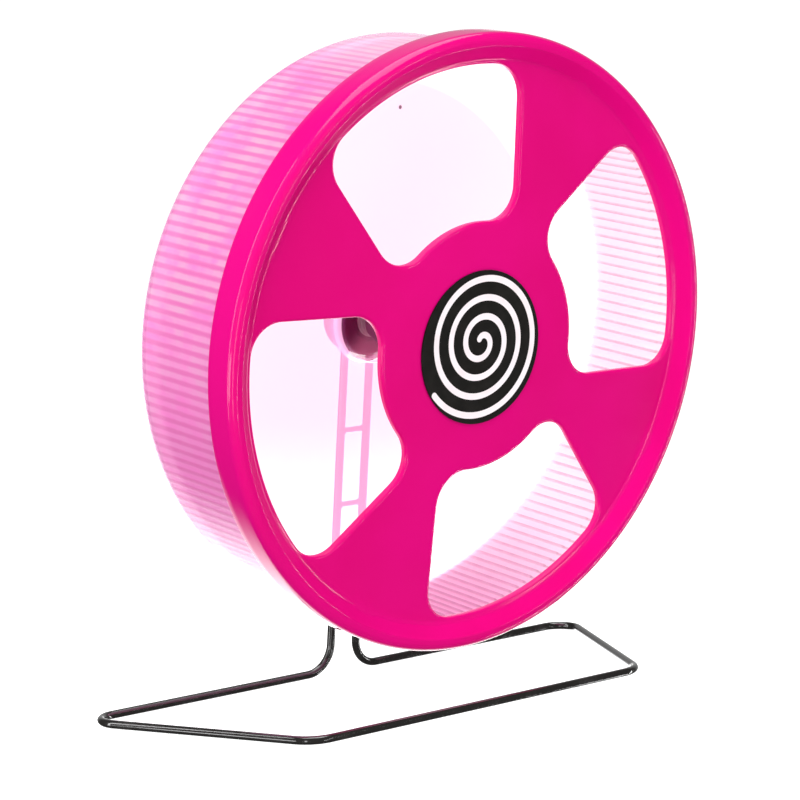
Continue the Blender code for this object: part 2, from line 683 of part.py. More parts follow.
def build_all():
    clear_scene()
    black_coat = make_material("black_coat", (0.012, 0.011, 0.010), 0.25)
    black_plastic = make_material("black_plastic", (0.015, 0.014, 0.014), 0.45)
    steel = make_material("steel", (0.56, 0.57, 0.58), 0.3, metallic=1.0)
    acetal = make_material("acetal", (0.80, 0.80, 0.77), 0.4)
    magenta = make_material("magenta_plastic", (0.80, 0.005, 0.21), 0.25)
    clear_pink = make_material("clear_pink_plastic", (0.98, 0.32, 0.62), 0.25, alpha=0.55)
    disc_black = make_material("disc_black", (0.02, 0.016, 0.014), 0.5)
    frame = bpy.data.objects.new("wheel_frame", None)
    frame.location = RIM_CENTRE
    frame.rotation_euler = (LEAN, 0, 0)
    bpy.context.scene.collection.objects.link(frame)
    build_stand(black_coat)
    for name, drop in zip(("stand_rung_upper", "stand_rung_lower"), RUNG_DROPS):
        build_rung(name, drop, black_coat, frame)
    build_block(black_plastic, frame)
    build_screw("block_screw_upper", 1, steel, frame)
    build_screw("block_screw_lower", -1, steel, frame)
    build_bolt(steel, frame)
    build_washer("axle_sleeve", BOLT_BORE, SLEEVE_RADIUS, SLEEVE_FRONT, THRUST_BACK, steel, frame)
    build_washer("head_washer", BOLT_BORE, WASHER_RADIUS, WASHER_FRONT, WASHER_BACK, steel, frame)
    build_washer("thrust_washer", BUSH_BORE, THRUST_RADIUS, THRUST_FRONT, THRUST_BACK, acetal, frame)
    build_washer("nut_washer", BOLT_BORE, WASHER_RADIUS, NUT_WASHER_FRONT, NUT_WASHER_BACK, steel, frame)
    build_nut(steel, frame)
    ring_front = NUT_BACK + SEAT_GAP
    build_washer("lock_nut_ring", BOLT_BORE, BOLT_BORE + RING_WALL, ring_front, COLLAR_BACK, acetal, frame)
    build_drum(clear_pink, frame)
    build_cover(magenta, frame)
    build_disc(disc_black, frame)
    build_bush("bush_front", FRONT_BUSH_FACE, FRONT_BUSH_BACK, 1, acetal, frame)
    build_bush("bush_back", BACK_BUSH_FACE, BACK_BUSH_FRONT, -1, acetal, frame)
    build_cap(clear_pink, frame)
    print("rim centre", tuple(round(v, 5) for v in RIM_CENTRE))
    print("hub point", tuple(round(v, 5) for v in HUB_POINT))
    print("front bar y", round(FRONT_BAR_Y, 5), "back bar y", round(BACK_BAR_Y, 5))


build_all()
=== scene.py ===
# Exercise wheel for small pets on a bent wire stand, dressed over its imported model.
# Metres, +Z up, the open front of the wheel towards -Y. Written for Blender 4.5.
import json
import math
import bmesh
import bpy
from mathutils import Matrix, Quaternion, Vector

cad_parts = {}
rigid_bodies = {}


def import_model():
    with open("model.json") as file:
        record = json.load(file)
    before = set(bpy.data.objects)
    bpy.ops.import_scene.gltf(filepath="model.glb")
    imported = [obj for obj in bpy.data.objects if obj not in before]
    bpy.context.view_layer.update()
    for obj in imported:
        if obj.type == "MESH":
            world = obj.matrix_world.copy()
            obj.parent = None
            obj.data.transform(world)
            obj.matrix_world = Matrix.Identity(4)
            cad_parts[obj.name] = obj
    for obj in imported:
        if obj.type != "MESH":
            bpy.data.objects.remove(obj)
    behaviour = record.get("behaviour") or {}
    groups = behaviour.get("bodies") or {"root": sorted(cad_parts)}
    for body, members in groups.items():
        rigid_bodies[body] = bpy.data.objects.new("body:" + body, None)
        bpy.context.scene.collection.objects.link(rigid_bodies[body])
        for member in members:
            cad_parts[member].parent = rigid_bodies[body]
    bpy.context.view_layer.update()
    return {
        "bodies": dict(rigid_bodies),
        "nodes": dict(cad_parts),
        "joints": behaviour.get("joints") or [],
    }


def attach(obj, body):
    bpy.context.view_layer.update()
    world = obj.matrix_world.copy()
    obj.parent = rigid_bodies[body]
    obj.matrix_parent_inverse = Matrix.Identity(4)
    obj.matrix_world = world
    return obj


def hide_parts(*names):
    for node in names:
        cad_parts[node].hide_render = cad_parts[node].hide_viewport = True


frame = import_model()

kept = set(frame["bodies"].values()) | set(frame["nodes"].values())
for item in list(bpy.data.objects):
    if item not in kept:
        bpy.data.objects.remove(item, do_unlink=True)

# The wheel's own frame: y runs back along the axle from the plane of the front rim,
# z points up along the uprights. The joint sits on the axle in the plane of the uprights.
uprightDepth = 0.0863
ribCount = 176
axle = Vector(frame["joints"][0]["axis"]).normalized()
across = Vector((1, 0, 0))
wheelUp = across.cross(axle)
rimCentre = Vector(frame["joints"][0]["pos_m"]) - axle * uprightDepth
toWorld = Matrix.Translation(rimCentre) @ Matrix((across, axle, wheelUp)).transposed().to_4x4()
toWheel = toWorld.inverted()
print("wheel frame: rim centre", [round(v, 5) for v in rimCentre])


# Node trees, for materials and for geometry

class Signal:
    # One output socket; sums and products of signals add their Math nodes.
    def __init__(self, graph, socket):
        self.graph = graph
        self.socket = socket

    def other(self, name):
        return Signal(self.graph, self.socket.node.outputs[name])

    def __add__(self, value):
        return self.graph.maths("ADD", self, value)

    def __radd__(self, value):
        return self.graph.maths("ADD", value, self)

    def __sub__(self, value):
        return self.graph.maths("SUBTRACT", self, value)

    def __rsub__(self, value):
        return self.graph.maths("SUBTRACT", value, self)

    def __mul__(self, value):
        return self.graph.maths("MULTIPLY", self, value)

    def __rmul__(self, value):
        return self.graph.maths("MULTIPLY", value, self)

    def __truediv__(self, value):
        return self.graph.maths("DIVIDE", self, value)


class Graph:
    def __init__(self, tree):
        self.tree = tree

    # Settings are set first, then the values or links of the sockets.
    def node(self, kind, settings=None, sockets=None, out=0):
        item = self.tree.nodes.new(kind)
        for key, value in (settings or {}).items():
            if key == "slots":
                while len(item.index_switch_items) < value:
                    item.index_switch_items.new()
            else:
                setattr(item, key, value)
        for key, value in (sockets or {}).items():
            if isinstance(value, Signal):
                self.tree.links.new(value.socket, item.inputs[key])
            else:
                item.inputs[key].default_value = value
        return Signal(self, item.outputs[out]) if len(item.outputs) else item

    def maths(self, operation, *values):
        return self.node("ShaderNodeMath", {"operation": operation}, dict(enumerate(values)))

    # Runs smoothly from 0 at low to 1 at high.
    def fade(self, value, low, high):
        return self.node("ShaderNodeMapRange", {"interpolation_type": "SMOOTHSTEP"},
                         {"Value": value, "From Min": low, "From Max": high})

    def mixValue(self, share, first, second):
        return first + (second - first) * share

    def mixColour(self, share, first, second):
        first = first if isinstance(first, Signal) else (*first, 1)
        second = second if isinstance(second, Signal) else (*second, 1)
        return self.node("ShaderNodeMix", {"data_type": "RGBA"}, {0: share, 6: first, 7: second}, out=2)

    def noise(self, vector, scale, detail=2.0):
        return self.node("ShaderNodeTexNoise", {}, {"Vector": vector, "Scale": scale, "Detail": detail})


# A material with one Principled shader; fixed sockets hold what is even all over.
class Finish(Graph):
    def __init__(self, name, fixed):
        self.material = bpy.data.materials.new(name)
        self.material.use_nodes = True
        super().__init__(self.material.node_tree)
        self.shader = self.tree.nodes["Principled BSDF"]
        for key, value in fixed.items():
            self.shader.inputs[key].default_value = value
        self.place = self.node("ShaderNodeTexCoord", out="Object")

    def feed(self, name, signal):
        self.tree.links.new(signal.socket, self.shader.inputs[name])

    def bump(self, height, strength, distance, under=None):
        sockets = {"Height": height, "Strength": strength, "Distance": distance}
        if under is not None:
            sockets["Normal"] = under
        return self.node("ShaderNodeBump", {}, sockets)

    # Object coordinates turned into the wheel's own frame.
    def wheelPlace(self):
        sockets = {"Vector": self.place, "Location": toWheel.to_translation(),
                   "Rotation": toWheel.to_euler()}
        return self.node("ShaderNodeMapping", {"vector_type": "POINT"}, sockets)

    # That place with its x, depth and z, and the distance from the axle.
    def wheelParts(self):
        local = self.wheelPlace()
        x = self.node("ShaderNodeSeparateXYZ", {}, {"Vector": local}, out="X")
        depth, z = x.other("Y"), x.other("Z")
        return local, x, depth, z, self.maths("SQRT", x * x + z * z)


# Starts a node tree for geometry, with one input for each named value.
def newTree(name, inputs):
    tree = bpy.data.node_groups.new(name, "GeometryNodeTree")
    tree.interface.new_socket("Geometry", in_out="INPUT", socket_type="NodeSocketGeometry")
    for label, value in inputs.items():
        kind = "NodeSocketInt" if isinstance(value, int) else "NodeSocketFloat"
        tree.interface.new_socket(label, in_out="INPUT", socket_type=kind)
    tree.interface.new_socket("Geometry", in_out="OUTPUT", socket_type="NodeSocketGeometry")
    graph = Graph(tree)
    entry = tree.nodes.new("NodeGroupInput")
    return graph, {socket.name: Signal(graph, socket) for socket in entry.outputs if socket.name}


def endTree(graph, result, material):
    real = graph.node("GeometryNodeRealizeInstances", {}, {"Geometry": result})
    dressed = graph.node("GeometryNodeSetMaterial", {}, {"Geometry": real, "Material": material})
    exitNode = graph.tree.nodes.new("NodeGroupOutput")
    graph.tree.links.new(dressed.socket, exitNode.inputs[0])


def addObject(name, data):
    item = bpy.data.objects.new(name, data)
    bpy.context.scene.collection.objects.link(item)
    return item


def toMesh(name, bm):
    mesh = bpy.data.meshes.new(name)
    bm.to_mesh(mesh)
    bm.free()
    return mesh


# Runs a node tree on a mesh and leaves the result as a plain mesh in the object.
def growPiece(name, mesh, graph, inputs):
    piece = addObject(name, mesh)
    modifier = piece.modifiers.new(name, "NODES")
    modifier.node_group = graph.tree
    for socket in graph.tree.interface.items_tree:
        if socket.in_out == "INPUT" and socket.name in inputs:
            modifier[socket.identifier] = inputs[socket.name]
    bpy.context.view_layer.update()
    depsgraph = bpy.context.evaluated_depsgraph_get()
    grown = bpy.data.meshes.new_from_object(piece.evaluated_get(depsgraph),
                                            preserve_all_data_layers=True, depsgraph=depsgraph)
    piece.modifiers.clear()
    piece.data = grown
    return piece


def newPiece(name, bm, material):
    mesh = toMesh(name, bm)
    mesh.materials.append(material)
    return addObject(name, mesh)


# Welds seams, turns every face outwards, sets smooth shading and takes the mesh to its place.
def settle(piece, sharpDegrees=32, weld=0.000002, place=None):
    bm = bmesh.new()
    bm.from_mesh(piece.data)
    bmesh.ops.remove_doubles(bm, verts=bm.verts, dist=weld)
    bmesh.ops.recalc_face_normals(bm, faces=bm.faces)
    bm.to_mesh(piece.data)
    bm.free()
    piece.data.shade_smooth()
    piece.data.set_sharp_from_angle(angle=math.radians(sharpDegrees))
    if place is not None:
        piece.data.transform(place)
    piece.data.update()
    return piece


def dress(piece, body, slot, *nodes):
    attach(piece, body)
    if nodes:
        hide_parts(*nodes)
    print(piece.name, "on", body, "with", len(piece.data.polygons), "faces")


def pick(values, *names):
    return [values[name] for name in names]


# The points of a CAD node in the wheel's own frame.
def nodePoints(node):
    return [toWheel @ v.co for v in frame["nodes"][node].data.vertices]


# Inner and outer radius round the axle, and front and back along it, of a CAD node.
def axleSpan(node):
    points = nodePoints(node)
    radii = [math.hypot(p.x, p.z) for p in points]
    depths = [p.y for p in points]
    return min(radii), max(radii), min(depths), max(depths)


def arc(centre, radius, start, end, steps):
    angles = [math.radians(start + (end - start) * i / steps) for i in range(steps + 1)]
    return [(centre[0] + radius * math.cos(t), centre[1] + radius * math.sin(t)) for t in angles]


# Angles that share out a full turn.
def turnAngles(steps, start=0.0):
    return [start + 2 * math.pi * i / steps for i in range(steps)]


# Joins each ring of vertices to the next, and closes both ends if asked.
def joinRings(bm, rings, capped=False):
    for first, second in zip(rings, rings[1:]):
        for i in range(len(first)):
            j = (i + 1) % len(first)
            bm.faces.new((first[i], first[j], second[j], second[i]))
    if capped:
        bm.faces.new(rings[0])
        bm.faces.new(rings[-1])


# A turned piece from points (radius, depth); radiusAt may bend a ring out of round.
def lathe(name, profile, material, steps=64, closed=True, radiusAt=None):
    bm = bmesh.new()
    rings = []
    for index, (radius, depth) in enumerate(profile):
        ring = []
        for angle in turnAngles(steps):
            reach = radiusAt(index, radius, angle) if radiusAt else radius
            ring.append(bm.verts.new((reach * math.cos(angle), depth, reach * math.sin(angle))))
        rings.append(ring)
    joinRings(bm, rings + rings[:1] if closed else rings, capped=not closed)
    return settle(newPiece(name, bm, material), place=toWorld)


# Rounds the corners of a closed ring section (inner radius, outer radius, front, back).
def roundedSection(inner, outer, front, back, edge, steps=3):
    section = arc((outer - edge, front + edge), edge, -90, 0, steps)
    section += arc((outer - edge, back - edge), edge, 0, 90, steps)
    section += arc((inner + edge, back - edge), edge, 90, 180, steps)
    section += arc((inner + edge, front + edge), edge, 180, 270, steps)
    return section


# Materials

def magentaPlastic(name, gloss, roughness):
    look = {
        "colour": (0.75, 0.0012, 0.200), "deep": (0.71, 0.0010, 0.176), "skirt": (0.69, 0.0008, 0.200),
        "patches": (14, 3), "patchEdge": (0.35, 0.65), "skirtDepth": (0.0008, 0.0042),
        "skirtRadius": (0.1340, 0.1380), "haze": (60, 3), "uneven": 0.06,
        "peel": (380, 2), "peelRelief": (0.04, 0.0002),
    }
    finish = Finish(name, {"Specular IOR Level": gloss, "IOR": 1.5})
    _, _, depth, _, radius = finish.wheelParts()
    cloud = finish.noise(finish.place, *look["patches"])
    colour = finish.mixColour(finish.fade(cloud, *look["patchEdge"]), look["colour"], look["deep"])
    # Painted light: the skirt gets a more purple tone than the face, standing in for the little more light that
    # its thin wall lets through.
    litSkirt = finish.fade(depth, *look["skirtDepth"]) * finish.fade(radius, *look["skirtRadius"])
    finish.feed("Base Color", finish.mixColour(litSkirt, colour, look["skirt"]))
    haze = finish.noise(finish.place, *look["haze"])
    finish.feed("Roughness", roughness + look["uneven"] * (haze - 0.5))
    peel = finish.noise(finish.place, *look["peel"])
    finish.feed("Normal", finish.bump(peel, *look["peelRelief"]))
    return finish.material


def clearPinkPlastic():
    look = {
        "outside": (0.82, 0.180, 0.53), "litPaleMottle": (0.66, 0.34, 0.52), "line": (0.68, 0.125, 0.40),
        "ends": (0.95, 0.74, 0.85), "inside": (0.86, 0.80, 0.83), "insideLowShade": (0.60, 0.225, 0.42),
        "ribShadeTint": (0.70, 0.57, 0.64), "corner": (1.0, 0.94, 0.98), "backWall": (0.84, 0.45, 0.71),
        "boss": (0.26, 0.020, 0.14), "bossLitPale": (0.90, 0.42, 0.66), "bossRimPaintedLight": (1.0, 0.88, 0.98),
        "bossSideShade": (0.92, 0.55, 0.80), "hub": (0.17, 0.030, 0.095), "mark": (0.30, 0.25, 0.28),
        "glow": 1.35, "cylinderGlow": 0.35, "cornerGlow": 0.60, "clouds": (55, 3), "wobble": (160, 2),
        "topLitPale": 0.35, "lowLitPale": 0.5, "lineWobble": 0.12, "lineInEnds": 0.7, "roughness": 0.16,
        "cloudRoughness": 0.10, "hubRoughness": 0.35, "ripple": (0.25, 0.0004), "lineRelief": (0.15, 0.0004),
    }
    opaque = {"outside": 0.88, "ends": 0.50, "inside": 0.85, "backIn": 0.45, "backOut": 0.20,
              "boss": 0.30, "rim": 0.75, "side": 0.55, "hub": 0.92}
    spots = {"cornerRadius": 0.1215, "cornerDepth": 0.0695, "markAside": 0.0130, "markAbove": 0.0980,
             "lowAside": -0.342, "lowBelow": 0.94, "upperSlope": 0.6}
    # Where one zone gives way to the next: metres along x, depth, z or the radius, or a share.
    zones = {
        "outerSkin": (0.0105, 0.0115), "ribs": (0.0176, 0.0192), "ribsEnd": (0.0730, 0.0765),
        "top": (0.118, 0.1345), "bottom": (0.074, 0.120), "mottle": (0.30, 0.70), "litHigh": (-0.09, 0.06),
        "outLine": (0.09, 0.36), "ribShadeLine": (0.06, 0.22), "inLines": (0.0135, 0.0150),
        "inLinesEnd": (0.0555, 0.0635), "low": (0.035, 0.125), "left": (0.02, 0.06),
        "corner": (0.0600, 0.0660), "back": (0.0755, 0.0792), "wallEdge": (0.1105, 0.1135),
        "mark": (0.0007, 0.0013), "rim": (0.0208, 0.0216), "hub": (0.0118, 0.0124),
        "hubDepth": (0.0712, 0.0718), "bossLitPale": (-0.010, 0.006), "upper": (-0.014, -0.007),
        "boss": (0.0190, 0.0199), "bossDepth": (0.0738, 0.0750),
    }
    fixed = {"Specular IOR Level": 0.3, "IOR": 1.5, "Emission Strength": look["glow"]}
    finish = Finish("clearPinkPlastic", fixed)
    local, x, depth, z, radius = finish.wheelParts()

    def past(value, zone):
        return finish.fade(value, *zones[zone])

    def upTo(value, zone):
        return 1 - past(value, zone)

    def distance(aside, above):
        return finish.maths("SQRT", aside * aside + above * above)

    turn = finish.maths("ARCTAN2", z, x)
    phase = finish.maths("FRACT", turn * (ribCount / (2 * math.pi)) + ribCount)
    fromRib = finish.maths("ABSOLUTE", phase - 0.5)
    cloud = finish.noise(local, *look["clouds"])
    wobble = finish.noise(local, *look["wobble"])
    # Distance from the middle of the rounded corner tells the outer skin from the inner one.
    outwards = finish.maths("MAXIMUM", radius - spots["cornerRadius"], 0.0)
    backwards = finish.maths("MAXIMUM", depth - spots["cornerDepth"], 0.0)
    skin = past(distance(outwards, backwards), "outerSkin")
    # Painted light: towards the top and the bottom of the drum the wall is painted paler and more see-through,
    # as it looks with bright light shining through it.
    ends = look["topLitPale"] * past(z, "top") + look["lowLitPale"] * past(z * -1, "bottom")
    # Outside, each rib shows as one soft darker line between mottled bands; the paler patches are painted
    # light, shown only on the upper part, which is lit from above.
    outLine = upTo(fromRib + look["lineWobble"] * (wobble - 0.5), "outLine") * past(depth, "ribs")
    outLine = outLine * upTo(depth, "ribsEnd") * (1 - look["lineInEnds"] * ends)
    outside = finish.mixColour(past(cloud, "mottle") * past(z, "litHigh"), look["outside"], look["litPaleMottle"])
    outside = finish.mixColour(outLine, outside, look["line"])
    outside = finish.mixColour(ends, outside, look["ends"])
    # Inside, painted light: a near white wall, as the clear wall looks with light shining through it, which
    # turns pinker low down, painted shade.
    ribShadeLine = upTo(fromRib, "ribShadeLine") * past(depth, "inLines") * upTo(depth, "inLinesEnd")
    low = past(x * spots["lowAside"] - z * spots["lowBelow"], "low")
    inside = finish.mixColour(low, look["inside"], look["insideLowShade"])
    # Painted shade: thin darker lines along each rib, where the rib shades the wall.
    tint = finish.mixColour(ribShadeLine * (0.6 + 0.6 * wobble), (1, 1, 1), look["ribShadeTint"])
    inside = finish.node("ShaderNodeVectorMath", {"operation": "MULTIPLY"}, {0: inside, 1: tint})
    # Painted light: on the left, towards the top and the bottom, the inside turns pale as well.
    inside = finish.mixColour(ends * past(x * -1, "left"), inside, look["ends"])
    # Rounded corner and back wall, each with an inner and an outer skin.
    isCorner = past(depth, "corner")
    isBack = past(depth, "back")
    # Painted light: the inner skin of the rounded corner is near white, as it looks with light shining through
    # it.
    inside = finish.mixColour(isCorner, inside, look["corner"])
    inside = finish.mixColour(isBack * upTo(radius, "wallEdge"), inside, look["backWall"])
    outside = finish.mixColour(isBack, outside, look["backWall"])
    colour = finish.mixColour(skin, inside, outside)
    inAlpha = finish.mixValue(isBack, opaque["inside"], opaque["backIn"])
    outAlpha = finish.mixValue(ends, opaque["outside"], opaque["ends"])
    outAlpha = finish.mixValue(isBack, outAlpha, opaque["backOut"])
    alpha = finish.mixValue(skin, inAlpha, outAlpha)
    # Mark of the moulding gate on the back wall.
    isMark = upTo(distance(x - spots["markAside"], z - spots["markAbove"]), "mark") * (1 - skin)
    colour = finish.mixColour(isMark, colour, look["mark"])
    # Boss, its rounded rim and the cap in the middle. Painted shade: the boss is dark where the block behind it
    # keeps light from coming through, and painted light makes it paler towards the lower right. Painted
    # highlight: the lower part of the rounded rim is near white; its upper part is painted lilac shade, and
    # there the dark of the boss reaches onto the rim.
    isRim = upTo(radius, "rim")
    isHub = upTo(radius, "hub") * upTo(depth, "hubDepth")
    boss = finish.mixColour(past(x - z, "bossLitPale"), look["boss"], look["bossLitPale"])
    isUpper = past(z - spots["upperSlope"] * x, "upper")
    isBoss = upTo(radius, "boss")
    isBoss = isBoss + (1 - isBoss) * isUpper * isRim * upTo(depth, "bossDepth")
    bossRimPaintedLight = finish.mixColour(isUpper, look["bossRimPaintedLight"], look["bossSideShade"])
    rimAlpha = finish.mixValue(isUpper, opaque["rim"], opaque["side"])
    colour = finish.mixColour(isRim, colour, bossRimPaintedLight)
    colour = finish.mixColour(isBoss, colour, boss)
    colour = finish.mixColour(isHub, colour, look["hub"])
    for share, value in ((isRim, rimAlpha), (isBoss, opaque["boss"]), (isHub, opaque["hub"]), (isMark, 1)):
        alpha = finish.mixValue(share, alpha, value)
    # Painted light: the inner skin glows with its own colour, standing in for the light that the wall lets
    # through; the corner glows more and the back wall most, the boss and the mark not at all.
    share = finish.mixValue(isCorner, look["cylinderGlow"], look["cornerGlow"])
    share = finish.mixValue(isBack, share, 1)
    lit = share * (1 - skin) * (1 - isBoss) * (1 - isMark)
    finish.feed("Emission Color", finish.mixColour(lit, (0, 0, 0), colour))
    finish.feed("Base Color", colour)
    finish.feed("Alpha", alpha)
    finish.feed("Roughness", look["roughness"] + look["cloudRoughness"] * cloud + look["hubRoughness"] * isHub)
    ripple = finish.bump(wobble, *look["ripple"])
    finish.feed("Normal", finish.bump(outLine, *look["lineRelief"], ripple))
    return finish.material


def blackCoat():
    look = {"colour": (0.013, 0.012, 0.011), "dust": (0.030, 0.028, 0.027), "roughness": 0.13,
            "patches": (90, 4), "dustEdge": (0.55, 0.80), "dull": 0.15, "dullEdge": (0.4, 0.8),
            "coatLoss": 0.2, "specks": (900, 2), "relief": (0.12, 0.0003)}
    finish = Finish("blackCoat", {"Specular IOR Level": 1.0, "Coat Roughness": 0.07, "Coat IOR": 1.6})
    cloud = finish.noise(finish.place, *look["patches"])
    speck = finish.noise(finish.place, *look["specks"])
    dusty = finish.fade(cloud, *look["dustEdge"])
    finish.feed("Base Color", finish.mixColour(dusty, look["colour"], look["dust"]))
    finish.feed("Roughness", look["roughness"] + look["dull"] * finish.fade(cloud, *look["dullEdge"]))
    finish.feed("Coat Weight", 1.0 - look["coatLoss"] * cloud)
    finish.feed("Normal", finish.bump(speck, *look["relief"]))
    return finish.material


def zincSteel():
    look = {"colour": (0.66, 0.67, 0.69), "blue": (0.50, 0.54, 0.60), "roughness": 0.24,
            "patches": (260, 3), "blueEdge": (0.4, 0.7), "stretch": (1500, 180, 1500),
            "uneven": 0.2, "relief": (0.15, 0.0001)}
    finish = Finish("zincSteel", {"Metallic": 1.0})
    cloud = finish.noise(finish.place, *look["patches"])
    stretched = finish.node("ShaderNodeMapping", {"vector_type": "POINT"},
                            {"Vector": finish.wheelPlace(), "Scale": look["stretch"]})
    brushed = finish.noise(stretched, 1, 2)
    blued = finish.fade(cloud, *look["blueEdge"])
    finish.feed("Base Color", finish.mixColour(blued, look["colour"], look["blue"]))
    finish.feed("Roughness", look["roughness"] + look["uneven"] * (brushed - 0.4))
    finish.feed("Normal", finish.bump(brushed, *look["relief"]))
    return finish.material


# Soft patches of a second colour over fine grain, for moulded and printed surfaces.
def mottledSurface(name, look):
    finish = Finish(name, {"Specular IOR Level": look["gloss"]})
    cloud = finish.noise(finish.place, *look["patches"])
    grain = finish.noise(finish.place, look["grain"], 2)
    patchy = finish.fade(cloud, *look["patchEdge"])
    finish.feed("Base Color", finish.mixColour(patchy, look["colour"], look["second"]))
    finish.feed("Roughness", look["roughness"] + look["uneven"] * (cloud - 0.5))
    finish.feed("Normal", finish.bump(grain, *look["relief"]))
    return finish.material


blockLook = {"colour": (0.019, 0.018, 0.018), "second": (0.045, 0.043, 0.043), "gloss": 0.45,
             "roughness": 0.46, "uneven": 0.15, "patches": (120, 4), "patchEdge": (0.5, 0.8),
             "grain": 2200, "relief": (0.35, 0.0002)}
acetalLook = {"colour": (0.80, 0.79, 0.75), "second": (0.70, 0.69, 0.65), "gloss": 0.5,
              "roughness": 0.38, "uneven": 0.1, "patches": (150, 3), "patchEdge": (0.35, 0.7),
              "grain": 1400, "relief": (0.15, 0.0002)}
inkLook = {"gloss": 0.1, "patches": (130, 4), "patchEdge": (0.4, 0.75), "uneven": 0.12, "grain": 2600,
           "relief": (0.12, 0.0001)}
discLook = {"colour": (0.0075, 0.0065, 0.0055), "second": (0.013, 0.011, 0.010), "roughness": 0.48, **inkLook}
spiralLook = {"colour": (0.96, 0.86, 0.89), "second": (0.90, 0.80, 0.83), "roughness": 0.42, **inkLook}

finishes = {
    "magenta": magentaPlastic("magentaPlastic", 0.45, 0.10),
    "magentaRamp": magentaPlastic("magentaSatin", 0.02, 0.50),
    "clearPink": clearPinkPlastic(),
    "coat": blackCoat(),
    "block": mottledSurface("blackBlockPlastic", blockLook),
    "steel": zincSteel(),
    "acetal": mottledSurface("whiteAcetal", acetalLook),
    "discInk": mottledSurface("discInk", discLook),
    "spiralInk": mottledSurface("spiralInk", spiralLook),
}
print("finishes made:", len(finishes))


# Front cover

cover = {
    "radius": 0.140, "edge": 0.0042, "crest": 0.1341, "crestRound": 0.0012,
    "rimWall": 0.003, "rimBack": 0.13555,
    "foot": 0.1274, "footBlend": 0.0011, "faceAtFoot": 0.0055, "faceAtHub": 0.0018, "reach": 0.1295,
    "hubFlat": 0.042, "hubBlend": 0.009, "hubRing": 0.034, "wall": 0.0025, "faceWall": 0.0035,
    "seatInner": 0.1315, "seatOuter": 0.1333, "seatBack": 0.0129,
    "depth": 0.0166, "beadFront": 0.0155, "beadHeight": 0.0007,
    "windows": 4, "phase": 108.8, "windowOuter": 0.1255, "windowInner": 0.0565,
    "sideAngle": 19.65, "sideOffset": 0.0176, "outerCorner": 0.0149, "innerCorner": 0.0154,
    "lip": 0.0016, "lipSteps": 6, "backLip": 0.0005, "backLipSteps": 3, "rows": 12, "rowEase": 1.15,
    "outerSteps": 36, "sideSteps": 30, "innerSteps": 16, "hubRows": 6, "rampRows": 4,
    "rampStop": 0.0008, "tip": 0.0005, "beadTip": 0.0004, "beadRise": 0.0002, "rimFillet": 0.001,
    "skirtRows": (0.008, 0.0125), "satinStop": 0.0009, "satinDepth": 0.004,
}


# A straight run that turns smoothly into another slope about the point where it starts.
def turnedSlope(past, blend, slope):
    if past <= -blend:
        return 0.0
    if past < blend:
        return slope * (past + blend) ** 2 / (4 * blend)
    return slope * past


# Depth of the face at a radius: flat round the hub, an even fall to the foot, then the ramp of the rim.
def faceDepth(radius):
    fall = (cover["faceAtFoot"] - cover["faceAtHub"]) / (cover["foot"] - cover["hubFlat"])
    ramp = cover["faceAtFoot"] / (cover["crest"] - cover["foot"]) + fall
    depth = cover["faceAtHub"] + turnedSlope(radius - cover["hubFlat"], cover["hubBlend"], fall)
    return depth - turnedSlope(radius - cover["foot"], cover["footBlend"], ramp)


def evenly(points, steps):
    lengths = [0]
    for first, second in zip(points, points[1:]):
        lengths.append(lengths[-1] + (second - first).length)
    result = []
    k = 0
    for i in range(steps + 1):
        target = lengths[-1] * i / steps
        while k < len(points) - 2 and lengths[k + 1] < target:
            k += 1
        span = max(lengths[k + 1] - lengths[k], 1e-12)
        result.append(points[k].lerp(points[k + 1], min(max((target - lengths[k]) / span, 0), 1)))
    return result


def sweep(centre, radius, start, end, steps):
    turns = [start + (end - start) * i / steps for i in range(steps + 1)]
    return [centre + radius * Vector((math.cos(t), math.sin(t))) for t in turns]


# Half of one window's outline in three parts: along the rim, along a spoke, along the hub.
def windowParts(growth):
    angle = math.radians(cover["sideAngle"])
    normal = Vector((-math.sin(angle), math.cos(angle)))
    along = Vector((math.cos(angle), math.sin(angle)))
    outer = cover["windowOuter"] + growth
    inner = cover["windowInner"] - growth
    offset = cover["sideOffset"] + growth
    outerCorner = cover["outerCorner"] + growth
    innerCorner = cover["innerCorner"] + growth

    def cornerCentre(reach, corner):
        aside = offset - corner
        return normal * aside + along * math.sqrt(reach ** 2 - aside ** 2)

    outerCentre = cornerCentre(outer - outerCorner, outerCorner)
    innerCentre = cornerCentre(inner + innerCorner, innerCorner)
    outerTurn = math.atan2(outerCentre.y, outerCentre.x)
    innerTurn = math.atan2(innerCentre.y, innerCentre.x)
    sideTurn = math.pi / 2 + angle
    outerMiddle = (outerTurn + sideTurn) / 2
    innerMiddle = (sideTurn + innerTurn + math.pi) / 2
    zero = Vector((0, 0))
    rimPart = sweep(zero, outer, 0, outerTurn, 60) + sweep(outerCentre, outerCorner, outerTurn, outerMiddle, 30)
    spokePart = sweep(outerCentre, outerCorner, outerMiddle, sideTurn, 30)
    spokePart += sweep(innerCentre, innerCorner, sideTurn, innerMiddle, 30)
    hubPart = sweep(innerCentre, innerCorner, innerMiddle, innerTurn + math.pi, 30)
    hubPart += sweep(zero, inner, innerTurn, 0, 30)
    return rimPart, spokePart, hubPart


def halfLoop(parts):
    counts = (cover["outerSteps"], cover["sideSteps"], cover["innerSteps"])
    loop = []
    for points, steps in zip(parts, counts):
        loop += evenly(points, steps)[:-1]
    return loop + [parts[-1][-1]]


def fullLoop(half):
    return half + [Vector((p.x, -p.y)) for p in reversed(half[1:-1])]


def windowLoop(growth):
    return fullLoop(halfLoop(windowParts(growth)))


